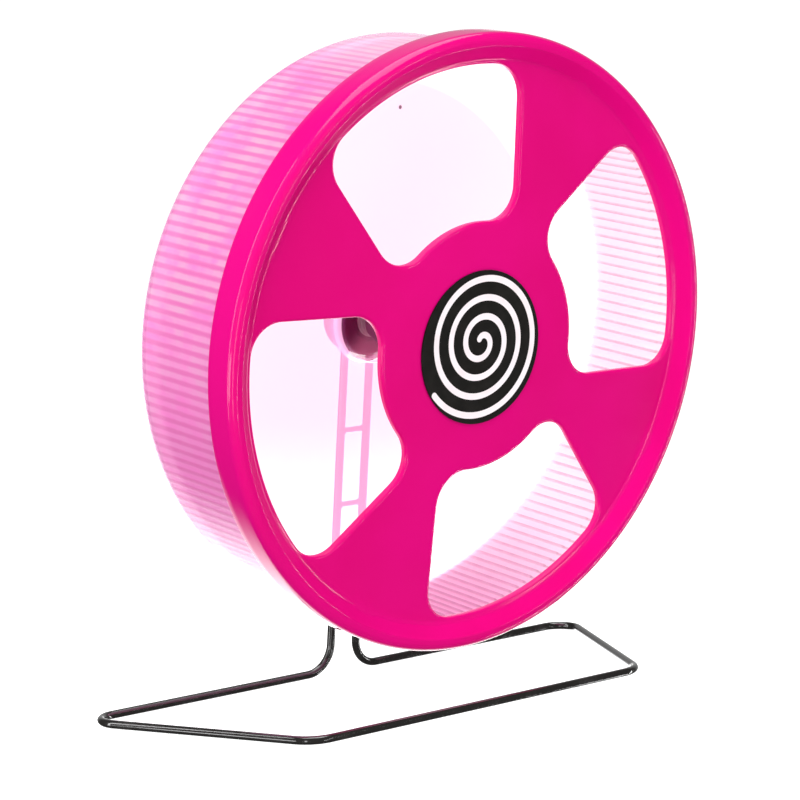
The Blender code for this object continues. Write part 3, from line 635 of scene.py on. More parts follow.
# The quarter that a window's rows spread out to: rim, spoke's middle line and hub.
def quarterLoop():
    reach = cover["reach"]
    hub = cover["hubRing"]
    corner = math.pi / 4
    zero = Vector((0, 0))
    diagonal = Vector((math.cos(corner), math.sin(corner)))
    steps = cover["sideSteps"]
    half = sweep(zero, reach, 0, corner, cover["outerSteps"])[:-1]
    half += [diagonal * (reach + (hub - reach) * i / steps) for i in range(steps)]
    half += sweep(zero, hub, corner, 0, cover["innerSteps"])
    return fullLoop(half)


# Rows of a quarter, each point with its depth below the face: inwards, over the lip, and back.
def coverRows():
    quarter = quarterLoop()
    lip, backLip, thick, count = pick(cover, "lip", "backLip", "faceWall", "rows")
    lipEnd = windowLoop(lip)
    backEnd = windowLoop(backLip)
    rows = []
    for i in range(count):
        share = (i / count) ** cover["rowEase"]
        rows.append([(q.lerp(p, share), 0) for q, p in zip(quarter, lipEnd)])
    for i in range(cover["lipSteps"] + 1):
        turn = math.pi / 2 * i / cover["lipSteps"]
        sink = lip * (1 - math.cos(turn))
        rows.append([(p, sink) for p in windowLoop(lip * (1 - math.sin(turn)))])
    for i in range(cover["backLipSteps"] + 1):
        turn = math.pi / 2 * i / cover["backLipSteps"]
        sink = thick - backLip * (1 - math.sin(turn))
        rows.append([(p, sink) for p in windowLoop(backLip * (1 - math.cos(turn)))])
    for i in range(1, count + 1):
        rows.append([(p.lerp(q, i / count), thick) for p, q in zip(backEnd, quarter)])
    return rows


# Rim: ramp, crest, rounded outer edge, skirt, bead, the inside and the seat of the drum's flange.
def rimProfile():
    reach, crest, crestRound = pick(cover, "reach", "crest", "crestRound")
    outer, edge, depth, tip = pick(cover, "radius", "edge", "depth", "tip")
    rimWall, rimBack, fillet, beadTip = pick(cover, "rimWall", "rimBack", "rimFillet", "beadTip")
    inside = outer - cover["wall"]
    bead = inside - cover["beadHeight"]
    plateBack = faceDepth(reach) + cover["faceWall"]

    def rampBack(radius):
        return radius, plateBack + (rimWall - plateBack) * (radius - reach) / (rimBack - reach)

    rise = math.atan2(cover["faceAtFoot"], crest - cover["foot"])
    middle = crest + crestRound * math.tan(rise / 2)
    rampEnd = crest - cover["rampStop"]
    ramp = [reach + (rampEnd - reach) * i / cover["rampRows"] for i in range(cover["rampRows"])]
    profile = [(r, faceDepth(r)) for r in ramp]
    profile += arc((middle, crestRound), crestRound, 270 - math.degrees(rise), 270, 6)
    profile += arc((outer - edge, edge), edge, 270, 360, 12)
    profile += [(outer, d) for d in cover["skirtRows"]]
    profile += arc((outer - tip, depth - tip), tip, 0, 90, 3)
    profile += arc((bead + beadTip, depth - beadTip), beadTip, 90, 180, 3)
    profile += [(bead, cover["beadFront"] + cover["beadRise"]), (inside, cover["beadFront"])]
    profile += [(inside, rimWall + fillet), (inside - fillet, rimWall), (rimBack, rimWall)]
    profile += [rampBack(cover["seatOuter"]), (cover["seatOuter"], cover["seatBack"])]
    profile += [(cover["seatInner"], cover["seatBack"]), rampBack(cover["seatInner"]), (reach, plateBack)]
    return profile


def buildCover():
    bm = bmesh.new()
    start = math.radians(cover["phase"])
    rows = coverRows()
    for angle in turnAngles(cover["windows"], start):
        loops = []
        for row in rows:
            loop = []
            for point, sink in row:
                x = point.x * math.cos(angle) - point.y * math.sin(angle)
                z = point.x * math.sin(angle) + point.y * math.cos(angle)
                loop.append(bm.verts.new((x, faceDepth(point.length) + sink, z)))
            loops.append(loop)
        joinRings(bm, loops)

    def spin(profile, steps):
        rings = []
        for radius, depth in profile:
            angles = turnAngles(steps, start)
            rings.append([bm.verts.new((radius * math.cos(t), depth, radius * math.sin(t))) for t in angles])
        joinRings(bm, rings)
        return rings[-1]

    # Middle of the hub, front and back, then the rim.
    hubRadii = [cover["hubRing"] * (1 - i / cover["hubRows"]) for i in range(cover["hubRows"])]
    for sink in (0, cover["faceWall"]):
        bm.faces.new(spin([(r, faceDepth(r) + sink) for r in hubRadii], 8 * cover["innerSteps"]))
    spin(rimProfile(), 8 * cover["outerSteps"])
    piece = newPiece("coverShell", bm, finishes["magenta"])
    settle(piece, sharpDegrees=40, weld=0.00001)
    # The ramp of the rim is satin, as are the steep faces behind it.
    piece.data.materials.append(finishes["magentaRamp"])
    satinFrom = cover["foot"] + cover["footBlend"]
    satinTo = cover["crest"] - cover["satinStop"]
    for face in piece.data.polygons:
        reach = math.hypot(face.center.x, face.center.z)
        if satinFrom < reach < satinTo and face.center.y < cover["rimWall"] + cover["satinDepth"]:
            face.material_index = 1
    piece.data.transform(toWorld)
    dress(piece, "wheel", "cover_plastic", "front_cover")


buildCover()


# Ribbed drum: a section turned round the axle by a node tree, with ribs raised on its inside.

drum = {
    "radius": 0.1335, "run": 0.1315, "depth": 0.0815, "corner": 0.012, "wall": 0.002,
    "flangeRadius": 0.1372, "flangeFront": 0.0132, "flangeBack": 0.0152,
    "cupRadius": 0.0183, "cupBack": 0.0745, "bossRadius": 0.0203, "bossFront": 0.072, "bossEdge": 0.0015,
    "tubeBore": 0.0063, "tubeRadius": 0.0085, "tubeFront": 0.062,
    "ribFront": 0.0182, "ribBack": 0.0640, "frontEase": 0.0008, "backEase": 0.0050,
    "ribHeight": 0.0009, "ribPhases": (0.0, 0.32, 0.42, 0.58, 0.68), "ribCrown": (0.08, 0.18),
    "edge": 0.0004, "root": 0.0006, "bossFillet": (0.001, 0.0003),
    "runRows": (0.026, 0.040, 0.054), "backRows": (0.095, 0.060, 0.030), "insideRows": (0.045, 0.080),
}


def drumSection():
    radius, run, depth, corner, wall = pick(drum, "radius", "run", "depth", "corner", "wall")
    flange, front, back = pick(drum, "flangeRadius", "flangeFront", "flangeBack")
    boss, bossFront, bossEdge = pick(drum, "bossRadius", "bossFront", "bossEdge")
    cup, cupBack, tube, bore = pick(drum, "cupRadius", "cupBack", "tubeRadius", "tubeBore")
    edge, root = drum["edge"], drum["root"]
    wide, narrow = drum["bossFillet"]
    centre = (radius - corner, depth - corner)
    inBack = depth - wall
    section = arc((flange - edge, front + edge), edge, -90, 0, 2)
    section += arc((flange - edge, back - edge), edge, 0, 90, 2)
    section += [(radius + root, back), (radius, back + root)]
    section += [(radius, d) for d in drum["runRows"]]
    section += arc(centre, corner, 0, 90, 10)
    section += [(r, depth) for r in drum["backRows"]]
    section += arc((cup + root, depth - root), root, 90, 180, 2)
    section += [(cup, cupBack), (bore, cupBack), (bore, drum["tubeFront"]), (tube, drum["tubeFront"])]
    section.append((tube, bossFront))
    section += arc((boss - bossEdge, bossFront + bossEdge), bossEdge, -90, 0, 5)
    section += [(boss, inBack - wide), (boss + narrow, inBack - narrow), (boss + wide, inBack)]
    section += [(r, inBack) for r in drum["insideRows"]]
    section += arc(centre, corner - wall, 90, 0, 8)
    section += [(run, drum["ribBack"]), (run, drum["ribBack"] - drum["backEase"])]
    section += [(run, d) for d in reversed(drum["runRows"])]
    section += [(run, drum["ribFront"] + drum["frontEase"]), (run, drum["ribFront"]), (run, front)]
    return section


def drumTree(inputs, material):
    graph, entry = newTree("drumTree", inputs)
    phases = drum["ribPhases"]
    turns = entry["Ribs"] * len(phases) + 1
    rows = entry["Points"] + 1
    grid = graph.node("GeometryNodeMeshGrid", {}, {"Size X": turns - 1, "Size Y": rows - 1,
                                                  "Vertices X": turns, "Vertices Y": rows})
    spot = graph.node("GeometryNodeInputPosition")
    parts = graph.node("ShaderNodeSeparateXYZ", {}, {0: spot}, out="X")
    column = graph.maths("ROUND", parts + (turns - 1) / 2)
    row = graph.maths("ROUND", parts.other("Y") + (rows - 1) / 2)
    row = graph.maths("MODULO", row, entry["Points"])
    # Which rib, and how far through its pitch.
    rib = graph.maths("FLOOR", (column + 0.5) / len(phases))
    choice = {"Index": column - rib * len(phases)}
    choice.update({str(i): value for i, value in enumerate(phases)})
    phase = graph.node("GeometryNodeIndexSwitch", {"data_type": "FLOAT", "slots": len(phases)}, choice)
    turn = (rib + phase) * (2 * math.pi) / entry["Ribs"]
    sample = graph.node("GeometryNodeSampleIndex", {"data_type": "FLOAT_VECTOR", "domain": "POINT"},
                        {"Geometry": entry["Geometry"], "Value": spot, "Index": row})
    radius = graph.node("ShaderNodeSeparateXYZ", {}, {0: sample}, out="X")
    depth = radius.other("Y")

    def ease(value, start, end, first=0.0, last=1.0):
        return graph.node("ShaderNodeMapRange", {}, {"Value": value, "From Min": start, "From Max": end,
                                                     "To Min": first, "To Max": last})

    onRun = 1 - graph.fade(graph.maths("ABSOLUTE", radius - entry["Run Radius"]), 0.00005, 0.0001)
    pastFront = ease(depth, entry["Rib Front"], entry["Rib Front"] + entry["Front Ease"])
    beforeBack = ease(depth, entry["Rib Back"] - entry["Back Ease"], entry["Rib Back"], 1.0, 0.0)
    crown = 1 - ease(graph.maths("ABSOLUTE", phase - 0.5), *drum["ribCrown"])
    reach = radius - entry["Rib Height"] * onRun * pastFront * beforeBack * crown
    place = graph.node("ShaderNodeCombineXYZ", {}, {"X": reach * graph.maths("COSINE", turn), "Y": depth,
                                                   "Z": reach * graph.maths("SINE", turn)})
    turned = graph.node("GeometryNodeSetPosition", {}, {"Geometry": grid, "Position": place})
    endTree(graph, turned, material)
    return graph


def buildDrum():
    section = drumSection()
    mesh = bpy.data.meshes.new("drumSection")
    mesh.from_pydata([(r, d, 0) for r, d in section], [], [])
    inputs = {"Ribs": ribCount, "Points": len(section), "Rib Height": drum["ribHeight"],
              "Run Radius": drum["run"], "Rib Front": drum["ribFront"], "Rib Back": drum["ribBack"],
              "Front Ease": drum["frontEase"], "Back Ease": drum["backEase"]}
    piece = growPiece("drumShell", mesh, drumTree(inputs, finishes["clearPink"]), inputs)
    settle(piece, sharpDegrees=40, place=toWorld)
    dress(piece, "wheel", "drum_plastic", "drum")


buildDrum()


# Spiral disc: the printed disc keeps its node, and a thin ribbon of ink winds over it.

spiral = {
    "centre": (0.0, 0.0023), "startRadius": 0.0343, "endRadius": 0.0020, "turns": 3.75,
    "startAngle": -140.4, "lineWidth": 0.0029, "inkHeight": 0.00012, "discFront": 0.0010,
    "stepsPerTurn": 72, "capSides": 32, "capShare": 0.96,
}


def spiralTree(inputs, material):
    graph, entry = newTree("spiralTree", inputs)
    path = graph.node("GeometryNodeCurveSpiral", {}, {
        "Resolution": entry["Resolution"], "Rotations": entry["Turns"], "Start Radius": entry["Start Radius"],
        "End Radius": entry["End Radius"], "Height": 0.0, "Reverse": True})
    upright = graph.node("GeometryNodeSetCurveNormal", {"mode": "Z_UP"}, {"Curve": path})
    section = graph.node("GeometryNodeCurvePrimitiveQuadrilateral", {"mode": "RECTANGLE"},
                         {"Width": entry["Line Width"], "Height": entry["Ink Height"]})
    ribbon = graph.node("GeometryNodeCurveToMesh", {}, {
        "Curve": upright, "Profile Curve": section, "Fill Caps": True})
    ends = graph.node("GeometryNodeCurveEndpointSelection")
    cap = graph.node("GeometryNodeMeshCylinder", {"fill_type": "NGON"}, {
        "Vertices": spiral["capSides"], "Radius": entry["Line Width"] / 2,
        "Depth": entry["Ink Height"] * spiral["capShare"]})
    caps = graph.node("GeometryNodeInstanceOnPoints", {}, {"Points": path, "Selection": ends, "Instance": cap})
    both = graph.node("GeometryNodeJoinGeometry")
    for part in (ribbon, caps):
        graph.tree.links.new(part.socket, both.socket.node.inputs[0])
    endTree(graph, both, material)
    return graph


def buildSpiral():
    inputs = {"Resolution": int(spiral["stepsPerTurn"] * spiral["turns"]), "Turns": spiral["turns"],
              "Start Radius": spiral["startRadius"], "End Radius": spiral["endRadius"],
              "Line Width": spiral["lineWidth"], "Ink Height": spiral["inkHeight"]}
    path = bpy.data.meshes.new("spiralPath")
    piece = growPiece("spiralLine", path, spiralTree(inputs, finishes["spiralInk"]), inputs)
    upright = Matrix.Rotation(math.radians(90), 4, "X")
    upright = upright @ Matrix.Rotation(math.radians(spiral["startAngle"]), 4, "Z")
    centre = Vector((spiral["centre"][0], spiral["discFront"], spiral["centre"][1]))
    settle(piece, place=toWorld @ Matrix.Translation(centre) @ upright)
    dress(piece, "wheel", "disc_print")
    for slot in frame["nodes"]["spiral_disc"].material_slots:
        slot.material = finishes["discInk"]


buildSpiral()


# Wire stand: one wire bent along a path, with its own bend at every corner.

wire = {
    "radius": 0.002, "spacing": 0.0154, "uprightLength": 0.1724, "grip": 0.012, "uprightBend": 0.0131,
    "frontY": -0.04397, "frontHalf": 0.0993, "frontBend": 0.0159,
    "backY": 0.05803, "backHalf": 0.1514, "backBend": 0.0105, "sides": 28, "bendSteps": 16,
}


def wireTree(inputs, material):
    graph, entry = newTree("wireTree", inputs)
    path = graph.node("GeometryNodeMeshToCurve", {}, {"Mesh": entry["Geometry"]})
    bend = graph.node("GeometryNodeInputNamedAttribute", {"data_type": "FLOAT"}, {"Name": "bend"})
    bent = graph.node("GeometryNodeFilletCurve", {"mode": "POLY"}, {
        "Curve": path, "Count": entry["Bend Steps"], "Radius": bend})
    section = graph.node("GeometryNodeCurvePrimitiveCircle", {"mode": "RADIUS"}, {
        "Resolution": entry["Sides"], "Radius": entry["Wire Radius"]})
    tube = graph.node("GeometryNodeCurveToMesh", {}, {
        "Curve": bent, "Profile Curve": section, "Fill Caps": True})
    endTree(graph, tube, material)
    return graph


def buildWire():
    top = wire["uprightLength"] + wire["grip"]
    half = wire["spacing"] / 2
    foot = Vector((0, wire["backY"], wire["radius"]))
    left = [(foot + wheelUp * top - across * half, 0), (foot - across * half, wire["uprightBend"])]
    left.append((Vector((-wire["backHalf"], wire["backY"], wire["radius"])), wire["backBend"]))
    left.append((Vector((-wire["frontHalf"], wire["frontY"], wire["radius"])), wire["frontBend"]))
    right = [(Vector((-p.x, p.y, p.z)), bend) for p, bend in reversed(left)]
    path = left + right
    mesh = bpy.data.meshes.new("wirePath")
    mesh.from_pydata([p for p, _ in path], [(i, i + 1) for i in range(len(path) - 1)], [])
    bends = mesh.attributes.new("bend", "FLOAT", "POINT")
    for i, (_, bend) in enumerate(path):
        bends.data[i].value = bend
    inputs = {"Wire Radius": wire["radius"], "Bend Steps": wire["bendSteps"], "Sides": wire["sides"]}
    piece = growPiece("standWire", mesh, wireTree(inputs, finishes["coat"]), inputs)
    settle(piece)
    dress(piece, "stand", "stand_coat", "wire_stand")


buildWire()


# Rungs between the uprights, one form placed twice, with a weld at each end.

rungs = {"radius": 0.0013, "drops": (0.0546, 0.0906), "weld": 0.0021, "weldLength": 0.0022, "sides": 20,
         "weldRows": 4, "sunk": 0.0004, "overlap": 0.0003}


# Copies of one form along the wheel's z axis, each turned a little further about y.
def copiesTree(name, inputs, material):
    graph, entry = newTree(name, inputs)
    start = graph.node("ShaderNodeCombineXYZ", {}, {"Z": entry["Start"]})
    step = graph.node("ShaderNodeCombineXYZ", {}, {"Z": entry["Step"]})
    line = graph.node("GeometryNodeMeshLine", {"mode": "OFFSET"}, {
        "Count": entry["Count"], "Start Location": start, "Offset": step})
    turn = graph.node("GeometryNodeInputIndex") * entry["Turn"] + entry["First Turn"]
    turned = graph.node("ShaderNodeCombineXYZ", {}, {"Y": turn})
    placed = graph.node("GeometryNodeInstanceOnPoints", {}, {
        "Points": line, "Instance": entry["Geometry"], "Rotation": turned})
    endTree(graph, placed, material)
    return graph


def buildRungs():
    bm = bmesh.new()
    radius, weld, sides = rungs["radius"], rungs["weld"], rungs["sides"]
    half = wire["spacing"] / 2
    weldStart = half - wire["radius"] + rungs["overlap"]
    profile = [(half - rungs["sunk"], weld)]
    for i in range(rungs["weldRows"] + 1):
        share = i / rungs["weldRows"]
        profile.append((weldStart - rungs["weldLength"] * share, radius + (weld - radius) * (1 - share) ** 2))
    profile += [(-x, r) for x, r in reversed(profile)]
    rings = []
    for x, reach in profile:
        rings.append([bm.verts.new((x, reach * math.cos(t), reach * math.sin(t))) for t in turnAngles(sides)])
    joinRings(bm, rings, capped=True)
    upper, lower = rungs["drops"]
    inputs = {"Count": 2, "Start": -upper, "Step": upper - lower, "Turn": 0.0, "First Turn": 0.0}
    graph = copiesTree("rungTree", inputs, finishes["coat"])
    piece = growPiece("standRungs", toMesh("rungForm", bm), graph, inputs)
    settle(piece, place=toWorld @ Matrix.Translation((0, uprightDepth, 0)))
    dress(piece, "stand", "stand_coat", "stand_rung_upper", "stand_rung_lower")


buildRungs()


# Bearing block and what it clamps, turned about the axle

def buildBlock():
    block = {"edge": 0.0014, "bore": 0.0028, "chamfer": 0.0002, "boreChamfer": 0.0003,
             "groove": (0.0098, 0.0106), "grooveDepth": 0.0003, "grooveSide": 0.0002,
             "recess": (0.0160, 0.0066), "recessDepth": 0.0004, "recessSide": 0.0003}
    bore, edge, chamfer, boreChamfer = pick(block, "bore", "edge", "chamfer", "boreChamfer")
    _, outer, front, back = axleSpan("block_front")
    inGroove, outGroove = block["groove"]
    sunk = front + block["grooveDepth"]
    section = arc((outer - edge, front + edge), edge, -90, 0, 5)
    section += [(outer, back - chamfer), (outer - chamfer, back), (bore, back), (bore, front + boreChamfer)]
    section += [(bore + boreChamfer, front), (inGroove - block["grooveSide"], front), (inGroove, sunk)]
    section += [(outGroove, sunk), (outGroove + block["grooveSide"], front)]
    piece = lathe("blockFront", section, finishes["block"], steps=96)
    dress(piece, "stand", "block_plastic", "block_front")
    _, outer, front, back = axleSpan("block_back")
    outRecess, inRecess = block["recess"]
    side = block["recessSide"]
    floor = back - block["recessDepth"]
    section = [(bore, front), (outer - chamfer, front), (outer, front + chamfer)]
    section += arc((outer - edge, back - edge), edge, 0, 90, 5)
    section += [(outRecess, back), (outRecess - side, floor), (inRecess + side, floor), (inRecess, back)]
    section += [(bore + chamfer, back), (bore, back - chamfer)]
    piece = lathe("blockBack", section, finishes["block"], steps=96)
    dress(piece, "stand", "block_plastic", "block_back")


buildBlock()


# Sleeve, washers and the ring of the nut.
def buildRings():
    simple = {
        "axle_sleeve": ("axleSleeve", "steel", "steel", 0.0003),
        "head_washer": ("headWasher", "steel", "steel", 0.00025),
        "nut_washer": ("nutWasher", "steel", "steel", 0.00025),
        "thrust_washer": ("thrustWasher", "bush_plastic", "acetal", 0.0002),
        "lock_nut_ring": ("lockNutRing", "bush_plastic", "acetal", 0.00015),
    }
    for node, (name, slot, finish, edge) in simple.items():
        section = roundedSection(*axleSpan(node), edge)
        dress(lathe(name, section, finishes[finish]), "stand", slot, node)


# Bushes: a flange at the open end and a barrel in the drum's tube.
def buildBushes():
    bush = {"flange": 0.0015, "barrel": 0.0060, "edge": 0.0003}
    edge, root, barrel = bush["edge"], bush["flange"], bush["barrel"]
    for node, name, forwards in (("bush_front", "bushFront", True), ("bush_back", "bushBack", False)):
        inner, outer, front, back = axleSpan(node)
        length = back - front
        section = arc((outer - edge, edge), edge, -90, 0, 3) + arc((outer - edge, root - edge), edge, 0, 90, 3)
        section += [(barrel, root), (barrel, length - edge), (barrel - edge, length)]
        section += [(inner + edge, length), (inner, length - edge), (inner, edge), (inner + edge, 0)]
        section = [(r, front + d) if forwards else (r, back - d) for r, d in section]
        dress(lathe(name, section, finishes["acetal"]), "wheel", "bush_plastic", node)


# Cap over the head of the bolt.
def buildCap():
    cap = {"bore": 0.0088, "wall": 0.0017, "edge": 0.0025, "rimEdge": 0.0003, "boreEdge": 0.0002,
           "fillet": 0.0006, "middle": 0.0004, "flat": (0.004, 0.00005)}
    bore, edge, rimEdge, boreEdge, fillet = pick(cap, "bore", "edge", "rimEdge", "boreEdge", "fillet")
    _, outer, front, back = axleSpan("hub_cap")
    inside = front + cap["wall"]
    flatRadius, flatRise = cap["flat"]
    section = [(cap["middle"], front), (flatRadius, front + flatRise)]
    section += arc((outer - edge, front + edge), edge, -88, 0, 8)
    section += [(outer, back - rimEdge), (outer - rimEdge, back), (bore + boreEdge, back)]
    section += [(bore, back - boreEdge), (bore, inside + fillet), (bore - fillet, inside)]
    section.append((cap["middle"], inside))
    piece = lathe("hubCap", section, finishes["clearPink"], steps=72, closed=False)
    dress(piece, "wheel", "drum_plastic", "hub_cap")


buildRings()
buildBushes()
buildCap()


# Bolt with a hexagonal socket, locking nut, and the two screws of the block

bolt = {"radius": 0.0025, "headBack": 0.0581, "socket": 0.0022, "socketDepth": 0.0018, "edge": 0.0005,
        "chamfer": 0.0002, "threadFrom": 0.091, "threadGap": 0.0002, "thread": 0.0008, "threadHeight": 0.00022,
        "threadRows": 4, "endStep": (0.0001, 0.0004), "endRound": 0.0005}


def hexagon(flat, angle):
    return flat / math.cos((angle + math.pi / 6) % (math.pi / 3) - math.pi / 6)


def buildBolt():
    radius, headBack, socket, edge, chamfer = pick(bolt, "radius", "headBack", "socket", "edge", "chamfer")
    _, head, front, back = axleSpan("axle_bolt")
    section = [(socket, front + bolt["socketDepth"]), (socket, front + chamfer), (socket + chamfer, front)]
    section += arc((head - edge, front + edge), edge, -90, 0, 4)
    section += [(head, headBack - chamfer), (head - chamfer, headBack)]
    section += [(radius, headBack), (radius, bolt["threadFrom"])]
    plain = len(section)
    # The thread starts where the nut does and ends in a small chamfer.
    pitch = bolt["thread"] / bolt["threadRows"]
    stepIn, stepBack = bolt["endStep"]
    rows = int((back - stepBack - bolt["threadFrom"]) / pitch)
    section += [(radius, bolt["threadFrom"] + bolt["threadGap"] + i * pitch) for i in range(rows)]
    section += [(radius - stepIn, back - stepBack), (radius - bolt["endRound"], back)]

    def radiusAt(index, reach, angle):
        if index < 2:
            return hexagon(reach, angle)
        if plain <= index < plain + rows:
            turn = (section[index][1] / bolt["thread"] - angle / (2 * math.pi)) % 1
            return reach - bolt["threadHeight"] * (1 - abs(2 * turn - 1))
        return reach

    piece = lathe("axleBolt", section, finishes["steel"], steps=60, closed=False, radiusAt=radiusAt)
    dress(piece, "stand", "steel", "axle_bolt")


buildBolt()


def buildNut():
    nut = {"bore": 0.0028, "boreEdge": 0.0003, "height": 0.0033, "chamfer": 0.0004, "faceShare": 0.97,
           "collarGap": 0.0003, "collarFillet": 0.0001, "collarEdge": 0.0005, "pocket": 0.0037}
    bore, boreEdge, chamfer = pick(nut, "bore", "boreEdge", "chamfer")
    fillet, edge = pick(nut, "collarFillet", "collarEdge")
    _, corner, front, back = axleSpan("lock_nut")
    flat = corner * math.cos(math.pi / 6)
    collar = flat - nut["collarGap"]
    end = front + nut["height"]
    section = [(bore + boreEdge, front), (flat * nut["faceShare"], front), (corner, front + chamfer)]
    section += [(corner, end - chamfer), (collar + fillet, end), (collar, end + fillet)]
    section += arc((collar - edge, back - edge), edge, 0, 80, 4)
    section += [(nut["pocket"], back), (nut["pocket"], end), (bore, end), (bore, front + boreEdge)]

    # Only the two rings at the corners are cut to the hexagon.
    def radiusAt(index, radius, angle):
        return min(radius, hexagon(flat, angle)) if index in (2, 3) else radius

    piece = lathe("lockNut", section, finishes["steel"], steps=72, radiusAt=radiusAt)
    dress(piece, "stand", "steel", "lock_nut")


buildNut()


# One screw with a cross recess, placed above and below the axle.
def buildScrews():
    screw = {"radius": 0.0014, "headRadius": 0.0027, "headHeight": 0.0018, "edge": 0.0003,
             "edgeDrop": 0.0008, "dome": 0.0005, "arm": 0.0017, "slot": 0.00032, "slotFlare": 1.4,
             "sink": 0.0007, "armSlope": 0.0006, "middle": 0.00005, "point": 0.0005,
             "pointShare": 0.6, "rings": 14, "steps": 48, "firstTurn": 0.3, "turn": 0.8}
    points = nodePoints("block_screw_upper")
    offset = (min(p.z for p in points) + max(p.z for p in points)) / 2
    tip, head = min(p.y for p in points), max(p.y for p in points)
    reach, count, shank = screw["headRadius"], screw["rings"], screw["radius"]
    flare = screw["slot"] * screw["slotFlare"]

    # The domed head with its cross; each arm has sloped sides and a sloped end.
    def crown(radius, turn):
        x = abs(radius * math.cos(turn))
        z = abs(radius * math.sin(turn))
        aside, ahead = min(x, z), max(x, z)
        surface = head - screw["dome"] * (radius / reach) ** 2
        if aside < flare and ahead < screw["arm"]:
            ease = min(1, (flare - aside) / (flare - screw["slot"]))
            fall = min(1, (screw["arm"] - ahead) / screw["armSlope"])
            return surface - screw["sink"] * ease * fall
        return surface

    inner = screw["middle"]
    span = reach - screw["edge"] - inner
    profile = [(inner + span * i / count, None) for i in range(count + 1)]
    profile += [(reach, head - screw["edgeDrop"]), (reach, head - screw["headHeight"])]
    profile += [(shank, head - screw["headHeight"]), (shank, tip + screw["point"])]
    profile.append((shank * screw["pointShare"], tip))
    bm = bmesh.new()
    rings = []
    for radius, depth in profile:
        ring = []
        for turn in turnAngles(screw["steps"]):
            y = crown(radius, turn) if depth is None else depth
            ring.append(bm.verts.new((radius * math.cos(turn), y, radius * math.sin(turn))))
        rings.append(ring)
    joinRings(bm, rings, capped=True)
    inputs = {"Count": 2, "Start": -offset, "Step": 2 * offset, "Turn": screw["turn"],
              "First Turn": screw["firstTurn"]}
    graph = copiesTree("screwTree", inputs, finishes["steel"])
    piece = growPiece("blockScrews", toMesh("screwForm", bm), graph, inputs)
    settle(piece, place=toWorld)
    dress(piece, "stand", "steel", "block_screw_upper", "block_screw_lower")


buildScrews()


# Stage, light and camera

# Each side is a direction in which the studio is bright, and its edge how the brightness sets in.
stage = {"floorHalf": 6.0, "floorColour": (0.93, 0.93, 0.93), "floorPale": (0.96, 0.96, 0.96),
         "floorGlow": 0.75, "floorFade": (0.35, 1.0), "backdrop": 1.1,
         "ambient": 0.98, "shadeSide": 0.46, "brightSide": (-0.74, -0.60, 0.30), "brightEdge": (-0.7, 0.8),
         "mirrored": 0.08, "rearSide": (0.66, 0.75, 0.0), "rearEdge": (0.45, 0.95), "rearGlow": 0.4,
         "tableSide": (0.50, 0.70, -0.51), "tableEdge": (0.72, 0.98), "tableGlow": 2.8}


def buildFloor():
    mesh = bpy.data.meshes.new("floor")
    half = stage["floorHalf"]
    corners = [(-half, -half, 0), (half, -half, 0), (half, half, 0), (-half, half, 0)]
    mesh.from_pydata(corners, [], [(0, 1, 2, 3)])
    floor = addObject("floor", mesh)
    finish = Finish("paleFloor", {"Specular IOR Level": 0.2, "Emission Color": (1, 1, 1, 1),
                                  "Emission Strength": stage["floorGlow"]})
    cloud = finish.noise(finish.place, 3, 2)
    finish.feed("Base Color", finish.mixColour(cloud, stage["floorColour"], stage["floorPale"]))
    finish.feed("Roughness", 0.75 + 0.1 * cloud)
    away = finish.node("ShaderNodeVectorMath", {"operation": "LENGTH"}, {0: finish.place}, out="Value")
    finish.feed("Alpha", 1 - finish.fade(away, *stage["floorFade"]))
    mesh.materials.append(finish.material)
    # The white floor is for the camera only, so it doesn't tint the wheel from below.
    floor.visible_diffuse = False
    floor.visible_glossy = False
    floor.visible_shadow = False


def buildWorld():
    world = bpy.data.worlds.new("studio")
    world.use_nodes = True
    bpy.context.scene.world = world
    graph = Graph(world.node_tree)
    background = world.node_tree.nodes["Background"]
    seen = graph.node("ShaderNodeLightPath", out="Is Camera Ray")
    sky = graph.node("ShaderNodeTexCoord", out="Generated")

    def towards(name):
        sockets = {0: sky, 1: stage[name + "Side"]}
        side = graph.node("ShaderNodeVectorMath", {"operation": "DOT_PRODUCT"}, sockets, out="Value")
        return graph.fade(side, *stage[name + "Edge"])

    ambient = graph.mixValue(towards("bright"), stage["shadeSide"], stage["ambient"])
    # Glossy surfaces see the bright studio only behind and below, so the front keeps its colour.
    mirrored = ambient * stage["mirrored"] + stage["rearGlow"] * towards("rear")
    mirrored = mirrored + stage["tableGlow"] * towards("table")
    ambient = graph.mixValue(seen.other("Is Glossy Ray"), ambient, mirrored)
    strength = graph.mixValue(seen, ambient, stage["backdrop"])
    world.node_tree.links.new(strength.socket, background.inputs["Strength"])
    background.inputs["Color"].default_value = (1, 1, 1, 1)


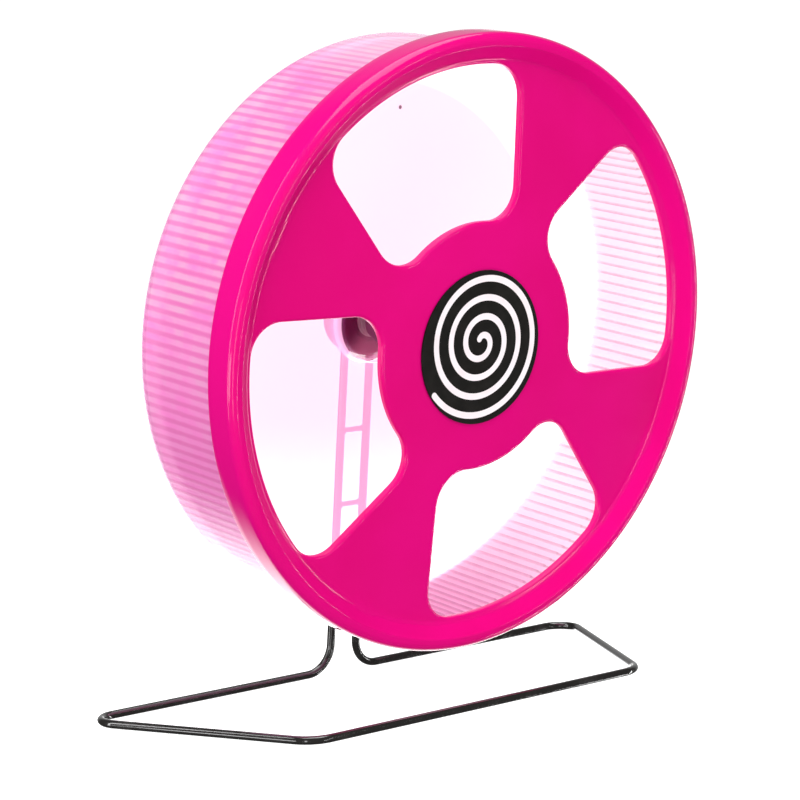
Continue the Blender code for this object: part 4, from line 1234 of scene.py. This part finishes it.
# Name: place, width and height, watts and lean. The soft boxes light surfaces but aren't mirrored;
# the gloss boxes show only in glossy surfaces.
softBoxes = {
    "keyLeft": ((-1.9, -0.3, 0.9), (1.2, 1.2), 9, 0),
    "fillFront": ((0.6, -2.2, 0.9), (1.6, 1.2), 10.5, 0),
    "topLeft": ((-0.7, -0.5, 1.8), (1.2, 1.2), 15, 0),
    "lowLeft": ((-1.7, -0.8, -0.1), (1.2, 1.2), 4, 0),
    "backLight": ((-0.4, 1.9, 0.9), (1.6, 1.2), 10, 0),
}
glossBoxes = {
    "stripFront": ((0.58, -1.8, -0.07), (0.05, 1.6), 3, -42),
    "stripRight": ((1.6, -0.82, -0.47), (0.06, 1.6), 7, 0),
    "stripLeft": ((-1.45, 0.36, 0.62), (0.20, 2.5), 8, 0),
    "glossTop": ((0.15, -0.1, 1.9), (1.8, 1.5), 24, 0),
    "glossSide": ((-1.4, -1.3, -0.2), (0.25, 1.0), 2.5, 0),
    "wireGloss": ((-1.5, -0.14, -0.15), (0.5, 0.35), 2.4, 0),
}


def buildLights(boxes, mirrored):
    aim = Vector((0, 0, 0.16))
    for name, (spot, size, watts, lean) in boxes.items():
        light = bpy.data.lights.new(name, "AREA")
        light.shape = "RECTANGLE"
        light.size, light.size_y = size
        light.energy = watts
        lamp = addObject(name, light)
        lamp.location = spot
        lamp.visible_diffuse = not mirrored
        lamp.visible_glossy = mirrored
        lamp.rotation_mode = "QUATERNION"
        facing = (aim - Vector(spot)).to_track_quat("-Z", "Y")
        lamp.rotation_quaternion = facing @ Quaternion((0, 0, 1), math.radians(lean))


def buildCamera():
    lens = {"azimuth": 41.075, "elevation": 11.894, "distance": 1.2225, "aim": (-0.04714, 0, -0.01917),
            "roll": 2.974, "focal": 126.19}
    turn, rise, roll = map(math.radians, pick(lens, "azimuth", "elevation", "roll"))
    back = Vector((-math.sin(turn) * math.cos(rise), -math.cos(turn) * math.cos(rise), math.sin(rise)))
    right = (-back).cross(Vector((0, 0, 1))).normalized()
    up = right.cross(-back)
    right, up = right * math.cos(roll) + up * math.sin(roll), up * math.cos(roll) - right * math.sin(roll)
    spot = Vector(lens["aim"]) + back * lens["distance"]
    data = bpy.data.cameras.new("camera")
    data.lens = lens["focal"]
    data.sensor_width = 36
    data.clip_start = 0.01
    data.clip_end = 50
    camera = addObject("camera", data)
    turned = Matrix((right, up, back)).transposed().to_4x4()
    camera.matrix_world = toWorld @ Matrix.Translation(spot) @ turned
    bpy.context.scene.camera = camera


buildFloor()
buildWorld()
buildLights(softBoxes, mirrored=False)
buildLights(glossBoxes, mirrored=True)
buildCamera()
bpy.context.scene.view_settings.view_transform = "Standard"
print("stage, lights and camera ready")
